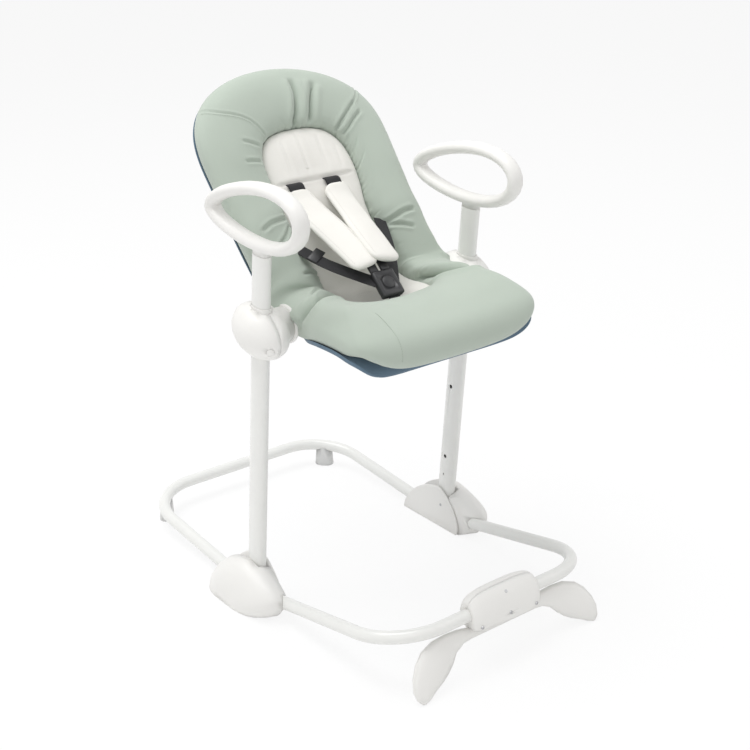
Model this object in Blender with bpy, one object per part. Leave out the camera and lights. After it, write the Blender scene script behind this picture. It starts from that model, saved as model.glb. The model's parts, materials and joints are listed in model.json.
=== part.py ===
"""A baby bouncer: a reclining padded seat carried between two upright posts on a looped floor base.

Metres, +Z up. The child faces -Y and +X is the child's left. The origin is on the floor, under the
middle of the bounding box. Everything hangs from the empty "bouncer", whose own origin is where the
two uprights' axes would meet the floor.
"""

import math

import bmesh
import bpy
from mathutils import Matrix, Vector

# How far a cutter reaches past the shape that it cuts
FAR = 0.3

# Gaps
GAP = 0.0003
SLIDE_GAP = 0.0005

# Half the distance between the middles of the uprights. The base tubes run a little outside them.
UPRIGHT_X = 0.240

# Base: one looped tube in front and one behind, both ending inside the side feet
TUBE_R = 0.012
TUBE_WALL = 0.0015
BASE_OUTSET = 0.0018
BASE_HALF_WIDTH = UPRIGHT_X + BASE_OUTSET
TUBE_AXIS_Z = 0.0153
REAR_REACH = 0.4209
REAR_CORNER_R = 0.1117
REAR_TUBE_Z = 0.0493
REAR_RISE = (REAR_TUBE_Z - TUBE_AXIS_Z) / REAR_REACH
REAR_TUBE_START = 0.036
FRONT_REACH = 0.4228
FRONT_CORNER_R = 0.105
FRONT_TUBE_Z = 0.1068
FRONT_RISE = (FRONT_TUBE_Z - TUBE_AXIS_Z) / FRONT_REACH
FRONT_TUBE_START = 0.030

# Uprights: oval tubes leaning forward
UPRIGHT_WIDTH = 0.026
UPRIGHT_DEPTH = 0.042
UPRIGHT_WALL = 0.0015
UPRIGHT_OVAL = 2.3
UPRIGHT_TOP = 0.7085
LEAN = math.radians(4.64)
INDEX_HOLES = (0.166, 0.328, 0.490)
INDEX_HOLE_R = 0.0042
STOP_SCREW_AT = 0.1234
STOP_SCREW_R = 0.0022

# Fold pivot inside the side feet
PIVOT_Z = 0.048
AXLE_R = 0.004
AXLE_BITE = 0.004
LUG_R = 0.0205
LUG_WIDTH = 0.025
LUG_TOP = 0.0697
SPIGOT_LENGTH = 0.026
POCKET_CLEARANCE = 0.002
FOLD_RANGE = math.radians(78)

# Side feet
FOOT_PLATE = 0.007
FOOT_SLOT = 0.0267
FOOT_FLARE = 0.0476
FOOT_LIP = 0.010
FOOT_HEIGHT = 0.092
FOOT_REAR = 0.1125
FOOT_NOSE = 0.108
FOOT_TOE = 0.072
FOOT_FULLEST_Y = 0.03
FOOT_EDGE = 0.0022

# Front foot: a clamp on the front tube, and two leaf-shaped paddles
CLAMP_HALF = 0.080
CLAMP_BELOW_TUBE = 0.023
CLAMP_BOTTOM = FRONT_TUBE_Z - CLAMP_BELOW_TUBE
PADDLE_LEAN = 0.486
PADDLE_AHEAD = 0.0392
PADDLE_FOOT_Y = -FRONT_REACH - PADDLE_AHEAD
PADDLE_BAND_TOP = 0.0815
PADDLE_BAND_BOTTOM = 0.0625
PADDLE_THICK = 0.0155
SCREW_BORE_R = 0.0028
SCREW_WALL = 0.0193
SCREWS_FROM_TUBE = (0.0262, -0.0108)

# Rear rubber feet
REAR_PAD_ANGLE = math.radians(44)
REAR_PAD_LONG = 0.021
REAR_PAD_WIDE = 0.0145

# Loop handles on the uprights, each in an upright plane
LOOP_HALF_LENGTH = 0.1341
LOOP_HALF_HEIGHT = 0.0482
LOOP_TAPER = -0.223
LOOP_SHIFT = -0.095
LOOP_TILT = math.radians(-4.0)
LOOP_CENTRE_Y = -0.0406
LOOP_HALF_WIDE = 0.0165
LOOP_HALF_THICK = 0.0120

# Hubs that ride on the uprights and carry the seat
HUB_AT = 0.5665
HUB_HALF_WIDE = 0.0455
HUB_HALF_LONG = 0.0645
HUB_HALF_TALL = 0.0460
HUB_TILT = math.radians(20)
BUSH_WALL = 0.0020
BUSH_HALF = 0.0475
DRUM_R = 0.0325
DRUM_FACE_X = 0.1897
HEIGHT_RANGE = 0.400
BUTTON_R = 0.0072
BUTTON_TRAVEL = 0.003
BUTTON_PROUD = 0.0010
BUTTON_AIM = Vector((0.52, -0.79, -0.32))

# Recline joint between each hub and the seat
DISC_R = 0.0355
DISC_THICK = 0.0079
RECLINE_AXLE_R = 0.005
BRACKET_THICK = 0.0076
BRACKET_R = 0.029
BRACKET_SHELF = 0.052
BRACKET_SHELF_LONG = 0.060
BRACKET_SHELF_DEEP = 0.0095

# Seat: middle line of the sling, front edge to top edge, as (y, z, half width, rise of its sides)
SEAT_LINE = (
    (-0.276, 0.520, 0.196, 0.016),
    (-0.282, 0.535, 0.198, 0.018),
    (-0.277, 0.549, 0.200, 0.022),
    (-0.260, 0.559, 0.203, 0.028),
    (-0.220, 0.565, 0.207, 0.032),
    (-0.165, 0.562, 0.205, 0.034),
    (-0.118, 0.555, 0.190, 0.030),
    (-0.070, 0.549, 0.168, 0.026),
    (-0.020, 0.548, 0.166, 0.026),
    (0.024, 0.557, 0.178, 0.054),
    (0.054, 0.589, 0.195, 0.086),
    (0.078, 0.628, 0.203, 0.086),
    (0.109, 0.676, 0.205, 0.058),
    (0.149, 0.739, 0.204, 0.036),
    (0.195, 0.809, 0.206, 0.022),
    (0.238, 0.876, 0.207, 0.018),
    (0.281, 0.941, 0.205, 0.018),
)
SEAT_TOP_ROUND = 0.190
SEAT_FRONT_ROUND = 0.060
SEAT_EDGE_ROUND = 0.050
CUSHION_BACK = 0.012
CUSHION_MIDDLE = 0.018
CUSHION_CROWN = 0.042
SEWN_TUFT = 0.003
TUFTS_ACROSS = 6
LINER_FIT = 0.0006
LINER_THICK = 0.010
LINER_HALF = 0.099
LINER_LOW = 0.205
LINER_HIGH = 0.680
LINER_ROUND = 3.0
SLING_THICK = 0.0032
SLING_HEM = 0.004
SLING_GAP = 0.0008
SEAT_TUBE_R = 0.008
SEAT_TUBE_INSET = 0.72
SEAT_TUBE_LOW = 0.090
SEAT_TUBE_HIGH = 0.060
SEAT_TUBE_ROUND = 0.110
SEAT_TUBE_CLEAR = 0.0025

# Harness
SLIT_AT = 0.560
WAIST_AT = 0.450
CROTCH_AT = 0.190
PAD_WIDTH = 0.045
PAD_THICK = 0.012
PAD_ABOVE_TONGUE = 0.0045
WEB_WIDTH = 0.025
WEB_THICK = 0.0022
BUCKLE_AT = Vector((0.0, -0.100, 0.6145))
BUCKLE_SIZE = (0.048, 0.054, 0.015)
BUCKLE_TILT = math.radians(42)
BUCKLE_BUTTON_R = 0.0130
BUCKLE_BUTTON_TRAVEL = 0.003
TONGUE_SIZE = (0.018, 0.030, 0.005)
ADJUSTER_SIZE = (0.034, 0.020, 0.0060)

LEAN_DIRECTION = Vector((0.0, -math.sin(LEAN), math.cos(LEAN)))
LEAN_ACROSS = Vector((0.0, math.cos(LEAN), math.sin(LEAN)))


def on_upright(x, along, across=0.0):
    """A point by its distance along an upright's axis from the floor, and across it, rearwards."""
    return Vector((x, 0.0, 0.0)) + LEAN_DIRECTION * along + LEAN_ACROSS * across


PIVOT = on_upright(0.0, PIVOT_Z / math.cos(LEAN))
HUB_CENTRE = on_upright(0.0, HUB_AT)
LOOP_CENTRE_Z = on_upright(0.0, UPRIGHT_TOP).z + LOOP_HALF_THICK + 0.0036 + LOOP_HALF_HEIGHT
SLOT_INNER_X = UPRIGHT_X - FOOT_SLOT / 2
SLOT_OUTER_X = UPRIGHT_X + FOOT_SLOT / 2


def clear_scene():
    for thing in list(bpy.data.objects):
        bpy.data.objects.remove(thing, do_unlink=True)


def paint(name, colour, roughness, metallic=0.0):
    material = bpy.data.materials.new(name)
    material.use_nodes = True
    shader = material.node_tree.nodes["Principled BSDF"]
    shader.inputs["Base Color"].default_value = (*colour, 1.0)
    shader.inputs["Roughness"].default_value = roughness
    shader.inputs["Metallic"].default_value = metallic
    material.diffuse_color = (*colour, 1.0)
    return material


def pivot_empty(name, at, parent=None, under=Vector((0.0, 0.0, 0.0))):
    marker = bpy.data.objects.new(name, None)
    marker.empty_display_size = 0.03
    marker.parent = parent
    marker.location = Vector(at) - Vector(under)
    marker["at"] = list(at)
    bpy.context.scene.collection.objects.link(marker)
    return marker


def smooth_curve(points, steps):
    """Catmull-Rom points through the given ones, which may carry any number of values."""
    rows = [Vector(p) for p in points]
    found = []
    for i in range(len(rows) - 1):
        before = rows[max(i - 1, 0)]
        after = rows[min(i + 2, len(rows) - 1)]
        for k in range(steps):
            t = k / steps
            a = 2 * rows[i]
            b = rows[i + 1] - before
            c = 2 * before - 5 * rows[i] + 4 * rows[i + 1] - after
            d = 3 * rows[i] - before - 3 * rows[i + 1] + after
            found.append(0.5 * (a + b * t + c * t * t + d * t * t * t))
    found.append(rows[-1])
    return found


def oval(half_a, half_b, count, power=2.0):
    """Points of a superellipse, as (a, b) pairs."""
    found = []
    for i in range(count):
        angle = 2 * math.pi * (i + 0.5) / count
        c = math.cos(angle)
        s = math.sin(angle)
        found.append(
            (
                half_a * math.copysign(abs(c) ** (2 / power), c),
                half_b * math.copysign(abs(s) ** (2 / power), s),
            )
        )
    return found


def loft(rings, closed=False, split=False):
    """A closed skin through rings of equally many points, capped unless the last joins the first.

    With `split`, every face is halved the same way, so that two skins on one grid stay parallel.
    """
    mesh = bmesh.new()
    loops = [[mesh.verts.new(p) for p in ring] for ring in rings]
    spans = list(zip(loops, loops[1:]))
    if closed:
        spans.append((loops[-1], loops[0]))
    for first, second in spans:
        for i in range(len(first)):
            j = (i + 1) % len(first)
            if split:
                mesh.faces.new((first[i], first[j], second[j]))
                mesh.faces.new((first[i], second[j], second[i]))
            else:
                mesh.faces.new((first[i], first[j], second[j], second[i]))
    if not closed:
        mesh.faces.new(loops[0])
        mesh.faces.new(loops[-1])
    bmesh.ops.recalc_face_normals(mesh, faces=mesh.faces)
    return mesh


def section_rings(path, section, across, closed=False):
    """The section's (a, b) points set square to the path: a along `across`, b beside it."""
    rings = []
    last = len(path) - 1
    for i, point in enumerate(path):
        if closed:
            tangent = path[(i + 1) % len(path)] - path[i - 1]
        else:
            tangent = path[min(i + 1, last)] - path[max(i - 1, 0)]
        tangent.normalize()
        side = Vector(across[i]) if isinstance(across, list) else Vector(across)
        side = (side - tangent * side.dot(tangent)).normalized()
        other = tangent.cross(side)
        rings.append([point + side * a + other * b for a, b in section])
    return rings


def tube(path, radius, sides, across, wall=0.0, closed=False):
    """A round tube along a path: solid, or with a wall and both ends open."""
    outer = section_rings(path, oval(radius, radius, sides), across, closed)
    if not wall:
        return loft(outer, closed)
    inner = section_rings(path, oval(radius - wall, radius - wall, sides), across)
    return loft(outer + inner[::-1], closed=True)


def rod(start, end, radius, sides=16):
    start = Vector(start)
    end = Vector(end)
    across = Vector((0, 0, 1)) if abs((end - start).normalized().z) < 0.9 else Vector((1, 0, 0))
    return loft(section_rings([start, end], oval(radius, radius, sides), across))


def slab(outline, x_from, x_to):
    """An outline of (y, z) points, extruded along X."""
    rings = [[Vector((x, y, z)) for y, z in outline] for x in (x_from, x_to)]
    return loft(rings)


def box(low, high):
    outline = ((low[1], low[2]), (high[1], low[2]), (high[1], high[2]), (low[1], high[2]))
    return slab(outline, low[0], high[0])


class Builder:
    """Makes the objects, each with its origin on the pivot that carries it."""

    def __init__(self, root):
        self.root = root

    def piece(self, name, mesh, material, pivot, sharp=40.0):
        at = Vector(pivot["at"])
        bmesh.ops.translate(mesh, verts=mesh.verts, vec=-at)
        data = bpy.data.meshes.new(name)
        mesh.to_mesh(data)
        mesh.free()
        data.materials.append(material)
        data.shade_smooth()
        data.set_sharp_from_angle(angle=math.radians(sharp))
        thing = bpy.data.objects.new(name, data)
        thing.parent = pivot
        bpy.context.scene.collection.objects.link(thing)
        return thing

    def helper(self, name, mesh, pivot):
        data = bpy.data.meshes.new(name)
        bmesh.ops.translate(mesh, verts=mesh.verts, vec=-Vector(pivot["at"]))
        mesh.to_mesh(data)
        mesh.free()
        thing = bpy.data.objects.new(name, data)
        thing.parent = pivot
        thing.hide_render = True
        thing.display_type = "WIRE"
        bpy.context.scene.collection.objects.link(thing)
        return thing

    def combine(self, thing, operation, mesh, label):
        """A Boolean against a hidden helper on the same pivot."""
        other = self.helper(f"{thing.name}.{label}", mesh, thing.parent)
        step = thing.modifiers.new(label, "BOOLEAN")
        step.operation = operation
        step.solver = "EXACT"
        step.object = other

    def cut(self, thing, mesh, label):
        self.combine(thing, "DIFFERENCE", mesh, label)

    def fuse(self, thing, mesh, label):
        self.combine(thing, "UNION", mesh, label)

    def soften(self, thing, width, segments=2):
        step = thing.modifiers.new("edges", "BEVEL")
        step.width = width
        step.segments = segments
        step.limit_method = "ANGLE"
        step.angle_limit = math.radians(50)


def base_path(reach, corner_r, rise, start, forward, corner_steps=6):
    """One loop of the base, from inside one side foot round to inside the other."""
    plan = [(BASE_HALF_WIDTH, start)]
    middle = (BASE_HALF_WIDTH - corner_r, reach - corner_r)
    for i in range(corner_steps + 1):
        angle = math.pi / 2 * i / corner_steps
        plan.append((middle[0] + corner_r * math.cos(angle), middle[1] + corner_r * math.sin(angle)))
    plan += [(-x, y) for x, y in reversed(plan)]
    sign = -1 if forward else 1
    return [Vector((x, sign * y, TUBE_AXIS_Z + rise * y)) for x, y in plan]


def front_path():
    return base_path(FRONT_REACH, FRONT_CORNER_R, FRONT_RISE, FRONT_TUBE_START, True)


def rear_path():
    return base_path(REAR_REACH, REAR_CORNER_R, REAR_RISE, REAR_TUBE_START, False)


def path_normal(rise, forward):
    return Vector((0, rise if forward else -rise, 1)).normalized()


def make_base(build, paint_white, plastic, rubber, steel):
    root = build.root
    tubes = (
        ("base_front_tube", front_path(), path_normal(FRONT_RISE, True)),
        ("base_rear_tube", rear_path(), path_normal(REAR_RISE, False)),
    )
    for name, path, normal in tubes:
        build.piece(name, tube(path, TUBE_R, 12, normal, TUBE_WALL), paint_white, root)
    for side, mark in ((-1, "R"), (1, "L")):
        make_side_foot(build, side, mark, plastic, steel)
        make_rear_pad(build, side, mark, rubber)
    make_front_foot(build, plastic)


def tube_channel(forward):
    path = front_path() if forward else rear_path()
    rise = FRONT_RISE if forward else REAR_RISE
    return tube(path, TUBE_R + GAP, 12, path_normal(rise, forward))


def fold_slot(side, clearance):
    """The space that the upright's lug and tube sweep through as they fold rearwards."""
    reach = 0.25
    radius = LUG_R + clearance
    centre = PIVOT.yz
    up = LEAN_DIRECTION.yz
    ahead = -LEAN_ACROSS.yz
    limit = FOLD_RANGE - LEAN
    flat = Vector((math.sin(limit), math.cos(limit)))
    under = Vector((math.cos(limit), -math.sin(limit)))
    first = math.atan2(ahead.y, ahead.x)
    last = math.atan2(under.y, under.x)
    if first > last:
        first -= 2 * math.pi
    outline = [centre + ahead * radius + up * reach]
    for i in range(11):
        angle = first + (last - first) * i / 10
        outline.append(centre + radius * Vector((math.cos(angle), math.sin(angle))))
    outline.append(centre + under * radius + flat * reach)
    outline.append(centre + flat * reach + up * reach)
    return slab([tuple(p) for p in outline], side * SLOT_INNER_X, side * SLOT_OUTER_X)


def make_side_foot(build, side, mark, plastic, steel):
    """An outer shell that flares to the floor round both tube ends, and a D-shaped inner plate."""
    root = build.root
    upper = smooth_curve(
        (
            (-FOOT_TOE, 0.0),
            (-0.090, 0.009),
            (-0.104, 0.025),
            (-FOOT_NOSE, 0.042),
            (-0.099, 0.058),
            (-0.071, 0.073),
            (-0.034, 0.085),
            (0.000, FOOT_HEIGHT),
            (0.036, 0.084),
            (0.068, 0.066),
            (0.094, 0.040),
            (0.108, 0.016),
            (FOOT_REAR, 0.0),
        ),
        2,
    )
    beside_plate = smooth_curve(
        (
            (-0.062, 0.0),
            (-0.074, 0.009),
            (-0.084, 0.021),
            (-0.083, 0.035),
            (-0.066, 0.050),
            (-0.045, 0.066),
            (-0.022, 0.081),
            (0.003, FOOT_HEIGHT - 0.0005),
            (0.036, 0.082),
            (0.068, 0.064),
            (0.093, 0.040),
            (0.107, 0.016),
            (FOOT_REAR - 0.0015, 0.0),
        ),
        2,
    )
    outer_width = SLOT_OUTER_X + FOOT_FLARE
    plan_from = BASE_HALF_WIDTH - 0.006
    rings = [[Vector((side * SLOT_INNER_X, p.x, p.y)) for p in beside_plate]]
    rings.append([Vector((side * SLOT_OUTER_X, p.x, p.y)) for p in upper])
    for degrees in (22, 40, 55, 68, 79, 87):
        share = math.sin(math.radians(degrees))
        x = SLOT_OUTER_X + FOOT_FLARE * share
        tall = (1 - share**2.5) ** 0.4
        plan = (1 - ((x - plan_from) / (outer_width - plan_from + 0.0006)) ** 3) ** (1 / 3)
        ring = []
        for p in upper:
            y = FOOT_FULLEST_Y + (p.x - FOOT_FULLEST_Y) * plan
            lip = FOOT_LIP * (1 - tall) * min(1.0, p.y / FOOT_LIP)
            ring.append(Vector((side * x, y, p.y * tall + lip)))
        rings.append(ring)
    shell = build.piece(f"foot_shell_outer_{mark}", loft(rings), plastic, root)
    build.cut(shell, tube_channel(True), "front_channel")
    build.cut(shell, tube_channel(False), "rear_channel")
    build.cut(shell, fold_slot(side, POCKET_CLEARANCE), "fold_slot")
    axle_in = SLOT_INNER_X - GAP - AXLE_BITE
    axle_out = SLOT_OUTER_X + AXLE_BITE * 2
    ends = [PIVOT + Vector((side * x, 0, 0)) for x in (SLOT_INNER_X - 0.001, axle_out + GAP)]
    build.cut(shell, rod(*ends, AXLE_R + GAP), "axle_hole")

    outline = smooth_curve(
        (
            (-0.060, 0.0),
            (-0.0625, 0.014),
            (-0.0585, 0.032),
            (-0.047, 0.053),
            (-0.029, 0.073),
            (-0.012, 0.087),
            (0.004, FOOT_HEIGHT - 0.001),
            (0.036, 0.082),
            (0.068, 0.064),
            (0.093, 0.040),
            (0.107, 0.016),
            (FOOT_REAR - 0.0015, 0.0),
        ),
        2,
    )
    plate_out = SLOT_INNER_X - GAP
    plate_in = plate_out - FOOT_PLATE
    plate_mesh = slab([tuple(p) for p in outline], side * plate_in, side * plate_out)
    plate = build.piece(f"foot_shell_inner_{mark}", plate_mesh, plastic, root)
    build.soften(plate, FOOT_EDGE, 1)
    ends = [PIVOT + Vector((side * x, 0, 0)) for x in (axle_in - GAP, SLOT_INNER_X + 0.001)]
    build.cut(plate, rod(*ends, AXLE_R + GAP), "axle_hole")

    ends = [PIVOT + Vector((side * x, 0, 0)) for x in (axle_in, axle_out)]
    build.piece(f"fold_axle_{mark}", rod(*ends, AXLE_R), steel, root)


def make_rear_pad(build, side, mark, rubber):
    """A rubber foot that saddles the rear tube at its corner and stands on the floor."""
    middle = (BASE_HALF_WIDTH - REAR_CORNER_R, REAR_REACH - REAR_CORNER_R)
    c = math.cos(REAR_PAD_ANGLE)
    s = math.sin(REAR_PAD_ANGLE)
    x = middle[0] + REAR_CORNER_R * c
    y = middle[1] + REAR_CORNER_R * s
    top = TUBE_AXIS_Z + REAR_RISE * y + TUBE_R * 0.28
    along = Vector((-s * side, c, 0))
    out = Vector((c * side, s, 0))
    rings = []
    for z, grow in ((0.0, 0.90), (0.002, 1.0), (0.012, 0.94), (top - 0.006, 0.86), (top, 0.80)):
        ring = oval(REAR_PAD_LONG * grow, REAR_PAD_WIDE * grow, 16, 2.6)
        rings.append([Vector((side * x, y, z)) + along * a + out * b for a, b in ring])
    pad = build.piece(f"rear_foot_{mark}", loft(rings), rubber, build.root)
    build.cut(pad, tube_channel(False), "saddle")


def on_paddle(x, z, out=0.0):
    """A point of the paddles' leaning middle plane, or `out` in front of it."""
    tilt = math.atan(PADDLE_LEAN)
    y = PADDLE_FOOT_Y + PADDLE_LEAN * z
    return Vector((x, y - out * math.cos(tilt), z + out * math.sin(tilt)))


def paddle_rings():
    """Sections from the right tip, along the band behind the clamp, to the left tip."""
    band = [
        ((0.0, PADDLE_BAND_TOP), (0.0, PADDLE_BAND_BOTTOM), 1.0),
        ((0.078, PADDLE_BAND_TOP), (0.078, PADDLE_BAND_BOTTOM), 1.0),
    ]
    leaf = [
        ((0.100, 0.0855), (0.097, 0.0608), 1.05),
        ((0.130, 0.0872), (0.117, 0.0520), 1.10),
        ((0.160, 0.0855), (0.129, 0.0390), 1.12),
        ((0.186, 0.0770), (0.143, 0.0280), 1.10),
        ((0.205, 0.0620), (0.160, 0.0185), 1.06),
        ((0.218, 0.0430), (0.178, 0.0115), 1.00),
        ((0.2235, 0.0240), (0.195, 0.0032), 0.90),
        ((0.2205, 0.0100), (0.207, -0.0004), 0.62),
        ((0.2150, 0.0045), (0.211, 0.0004), 0.25),
    ]
    half = band[1:] + leaf
    whole = [((-t[0], t[1]), (-b[0], b[1]), k) for t, b, k in reversed(half)] + [band[0]] + half
    rings = []
    for top, bottom, thick in whole:
        middle = on_paddle((top[0] + bottom[0]) / 2, (top[1] + bottom[1]) / 2)
        arm = on_paddle(*top) - middle
        normal = on_paddle(0, 0, 1) - on_paddle(0, 0)
        ring = []
        for a, b in oval(1.0, 1.0, 10, 2.4):
            ring.append(middle + arm * a + normal * (b * thick * PADDLE_THICK / 2))
        rings.append(ring)
    return rings


def origin_shift():
    """Moves the part so that its origin is under the middle of its length."""
    front = min(p.y for ring in paddle_rings() for p in ring if p.z > 0)
    return -(front + REAR_REACH + TUBE_R) / 2


def floor_cut():
    reach = FRONT_REACH + FAR
    return box((-reach, -reach, -FAR), (reach, reach, 0.0))


def clamp_rings():
    """The clamp's rounded loaf, swept along the front tube and drawn in at both ends."""
    tube_z = FRONT_TUBE_Z
    outline = smooth_curve(
        (
            (0.0245, CLAMP_BOTTOM - tube_z),
            (0.0272, -0.010),
            (0.0282, 0.006),
            (0.0255, 0.022),
            (0.0178, 0.0335),
            (0.0060, 0.0385),
            (-0.0060, 0.0360),
            (-0.0160, 0.0265),
            (-0.0235, 0.0130),
            (-0.0285, -0.001),
            (-0.0310, -0.012),
            (-0.0300, CLAMP_BOTTOM - tube_z),
        ),
        2,
    )
    steps = (-1.0, -0.97, -0.89, -0.76, -0.58, -0.30, 0.30, 0.58, 0.76, 0.89, 0.97, 1.0)
    rings = []
    for step in steps:
        edge = max(0.0, abs(step) - 0.25) / 0.75
        shrink = 1 - 0.20 * edge**2 - 0.26 * edge**9
        ring = []
        for p in outline:
            drop = min(1.0, max(0.0, (p.y + 0.022) / 0.02))
            y = -FRONT_REACH + 0.002 + (p.x - 0.002) * (1 - (1 - shrink) * 0.8)
            z = tube_z + p.y * (1 - (1 - shrink) * drop)
            ring.append(Vector((step * CLAMP_HALF, y, z)))
        rings.append(ring)
    return rings


def make_front_foot(build, plastic):
    """A front cover and a back half clamp the tube; the back half carries the paddle band."""
    root = build.root
    split = -FRONT_REACH
    cover = build.piece("front_foot_cover", loft(clamp_rings()), plastic, root, 50)
    build.cut(cover, box((-FAR, split - GAP / 2, -FAR), (FAR, split + FAR, FAR)), "back_half")
    build.cut(cover, tube_channel(True), "tube_seat")
    for above in SCREWS_FROM_TUBE:
        end = Vector((0, split - SCREW_WALL, FRONT_TUBE_Z + above))
        bore = rod(end - Vector((0, FAR, 0)), end, SCREW_BORE_R, 10)
        build.cut(cover, bore, "screw_bore")
    back = build.piece("front_foot_base", loft(clamp_rings()), plastic, root, 50)
    build.cut(back, box((-FAR, split - FAR, -FAR), (FAR, split + GAP / 2, FAR)), "front_half")
    build.fuse(back, loft(paddle_rings()), "paddles")
    lug_low = (-CLAMP_HALF * 0.8, split + 0.001, PADDLE_BAND_BOTTOM + 0.004)
    lug_high = (CLAMP_HALF * 0.8, split + 0.020, CLAMP_BOTTOM + 0.004)
    build.fuse(back, box(lug_low, lug_high), "neck")
    build.cut(back, tube_channel(True), "tube_seat")
    build.cut(back, floor_cut(), "floor")


def oval_post(x, start, end, shrink, sides=18):
    """An oval bar along the upright's axis, `shrink` smaller all round than the tube's outside."""
    section = oval(UPRIGHT_WIDTH / 2 - shrink, UPRIGHT_DEPTH / 2 - shrink, sides, UPRIGHT_OVAL)
    path = [on_upright(x, start), on_upright(x, end)]
    return section_rings(path, section, (1, 0, 0))


def loop_path(x, count=31):
    centre = Vector((x, LOOP_CENTRE_Y, LOOP_CENTRE_Z))
    along = Vector((0, math.cos(LOOP_TILT), math.sin(LOOP_TILT)))
    up = Vector((0, -math.sin(LOOP_TILT), math.cos(LOOP_TILT)))
    path = []
    for i in range(count):
        turn = 2 * math.pi * i / count
        c = math.cos(turn)
        s = math.sin(turn)
        reach = LOOP_HALF_LENGTH * c + LOOP_SHIFT * LOOP_HALF_HEIGHT * s * s
        rise = LOOP_HALF_HEIGHT * s * (1 + LOOP_TAPER * c)
        path.append(centre + along * reach + up * rise)
    return path


def make_uprights(build, fold, paint_white, plastic):
    """Each upright: a hollow oval post with index holes, an end lug below and a loop handle above."""
    for side, mark in ((-1, "R"), (1, "L")):
        x = side * UPRIGHT_X
        start = LUG_TOP + GAP
        rings = oval_post(x, start, UPRIGHT_TOP, 0.0) + oval_post(x, start, UPRIGHT_TOP, UPRIGHT_WALL)[::-1]
        post = build.piece(f"upright_{mark}", loft(rings, closed=True), paint_white, fold)
        inner_x = side * (UPRIGHT_X - UPRIGHT_WIDTH / 2)
        for number, at in enumerate(INDEX_HOLES):
            hole = [on_upright(inner_x - side * 0.004, at), on_upright(inner_x + side * 0.006, at)]
            build.cut(post, rod(*hole, INDEX_HOLE_R, 12), f"index_{number}")
        hole = [on_upright(inner_x - side * 0.004, STOP_SCREW_AT), on_upright(inner_x + side * 0.006, STOP_SCREW_AT)]
        build.cut(post, rod(*hole, STOP_SCREW_R, 8), "stop_screw")

        outline = []
        for i in range(13):
            turn = math.pi * i / 12
            outline.append(PIVOT - LEAN_ACROSS * (LUG_R * math.cos(turn)) - LEAN_DIRECTION * (LUG_R * math.sin(turn)))
        for across in (LUG_R, -LUG_R):
            outline.append(on_upright(0.0, LUG_TOP, across))
        half = LUG_WIDTH / 2
        lug_mesh = slab([(p.y, p.z) for p in outline], x - half, x + half)
        lug = build.piece(f"upright_end_lug_{mark}", lug_mesh, plastic, fold)
        spigot = oval_post(x, LUG_TOP - 0.002, LUG_TOP + SPIGOT_LENGTH, UPRIGHT_WALL + GAP)
        build.fuse(lug, loft(spigot), "spigot")
        ends = [PIVOT + Vector((x + k * LUG_WIDTH, 0, 0)) for k in (-1, 1)]
        build.cut(lug, rod(*ends, AXLE_R + GAP), "axle_hole")

        section = oval(LOOP_HALF_WIDE, LOOP_HALF_THICK, 12)
        loop_mesh = loft(section_rings(loop_path(x), section, (1, 0, 0), closed=True), closed=True)
        handle = build.piece(f"loop_handle_{mark}", loop_mesh, plastic, fold)
        neck = oval_post(x, UPRIGHT_TOP + GAP, UPRIGHT_TOP + LOOP_HALF_THICK, 0.0005)
        build.fuse(handle, loft(neck), "neck")
        plug = oval_post(x, UPRIGHT_TOP - SPIGOT_LENGTH, UPRIGHT_TOP + LOOP_HALF_THICK * 0.8, UPRIGHT_WALL + GAP)
        build.fuse(handle, loft(plug), "plug")


def hub_egg(side, across=20, along=12):
    """An egg lying fore and aft with its front end low."""
    centre = HUB_CENTRE + Vector((side * UPRIGHT_X, 0, 0))
    turn = Matrix.Rotation(HUB_TILT, 3, "X")
    mesh = bmesh.new()
    bmesh.ops.create_uvsphere(mesh, u_segments=across, v_segments=along, radius=1.0)
    for vertex in mesh.verts:
        p = vertex.co.copy()
        pole = Vector((p.x * HUB_HALF_WIDE, p.z * HUB_HALF_LONG, -p.y * HUB_HALF_TALL))
        vertex.co = centre + turn @ pole
    bmesh.ops.recalc_face_normals(mesh, faces=mesh.faces)
    return mesh


def bush_bore(x, extra):
    shrink = -(SLIDE_GAP + BUSH_WALL + extra)
    return loft(oval_post(x, HUB_AT - 0.15, HUB_AT + 0.15, shrink))


def button_seat(side):
    """Where the release button breaks the egg's lower front, and which way it faces."""
    aim = Vector((side * BUTTON_AIM.x, BUTTON_AIM.y, BUTTON_AIM.z)).normalized()
    turn = Matrix.Rotation(HUB_TILT, 3, "X")
    local = turn.transposed() @ aim
    halves = Vector((HUB_HALF_WIDE, HUB_HALF_LONG, HUB_HALF_TALL))
    scaled = Vector([local[i] * halves[i] for i in range(3)])
    surface = Vector([scaled[i] * halves[i] for i in range(3)]) / scaled.length
    return HUB_CENTRE + Vector((side * UPRIGHT_X, 0, 0)) + turn @ surface, aim


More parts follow.
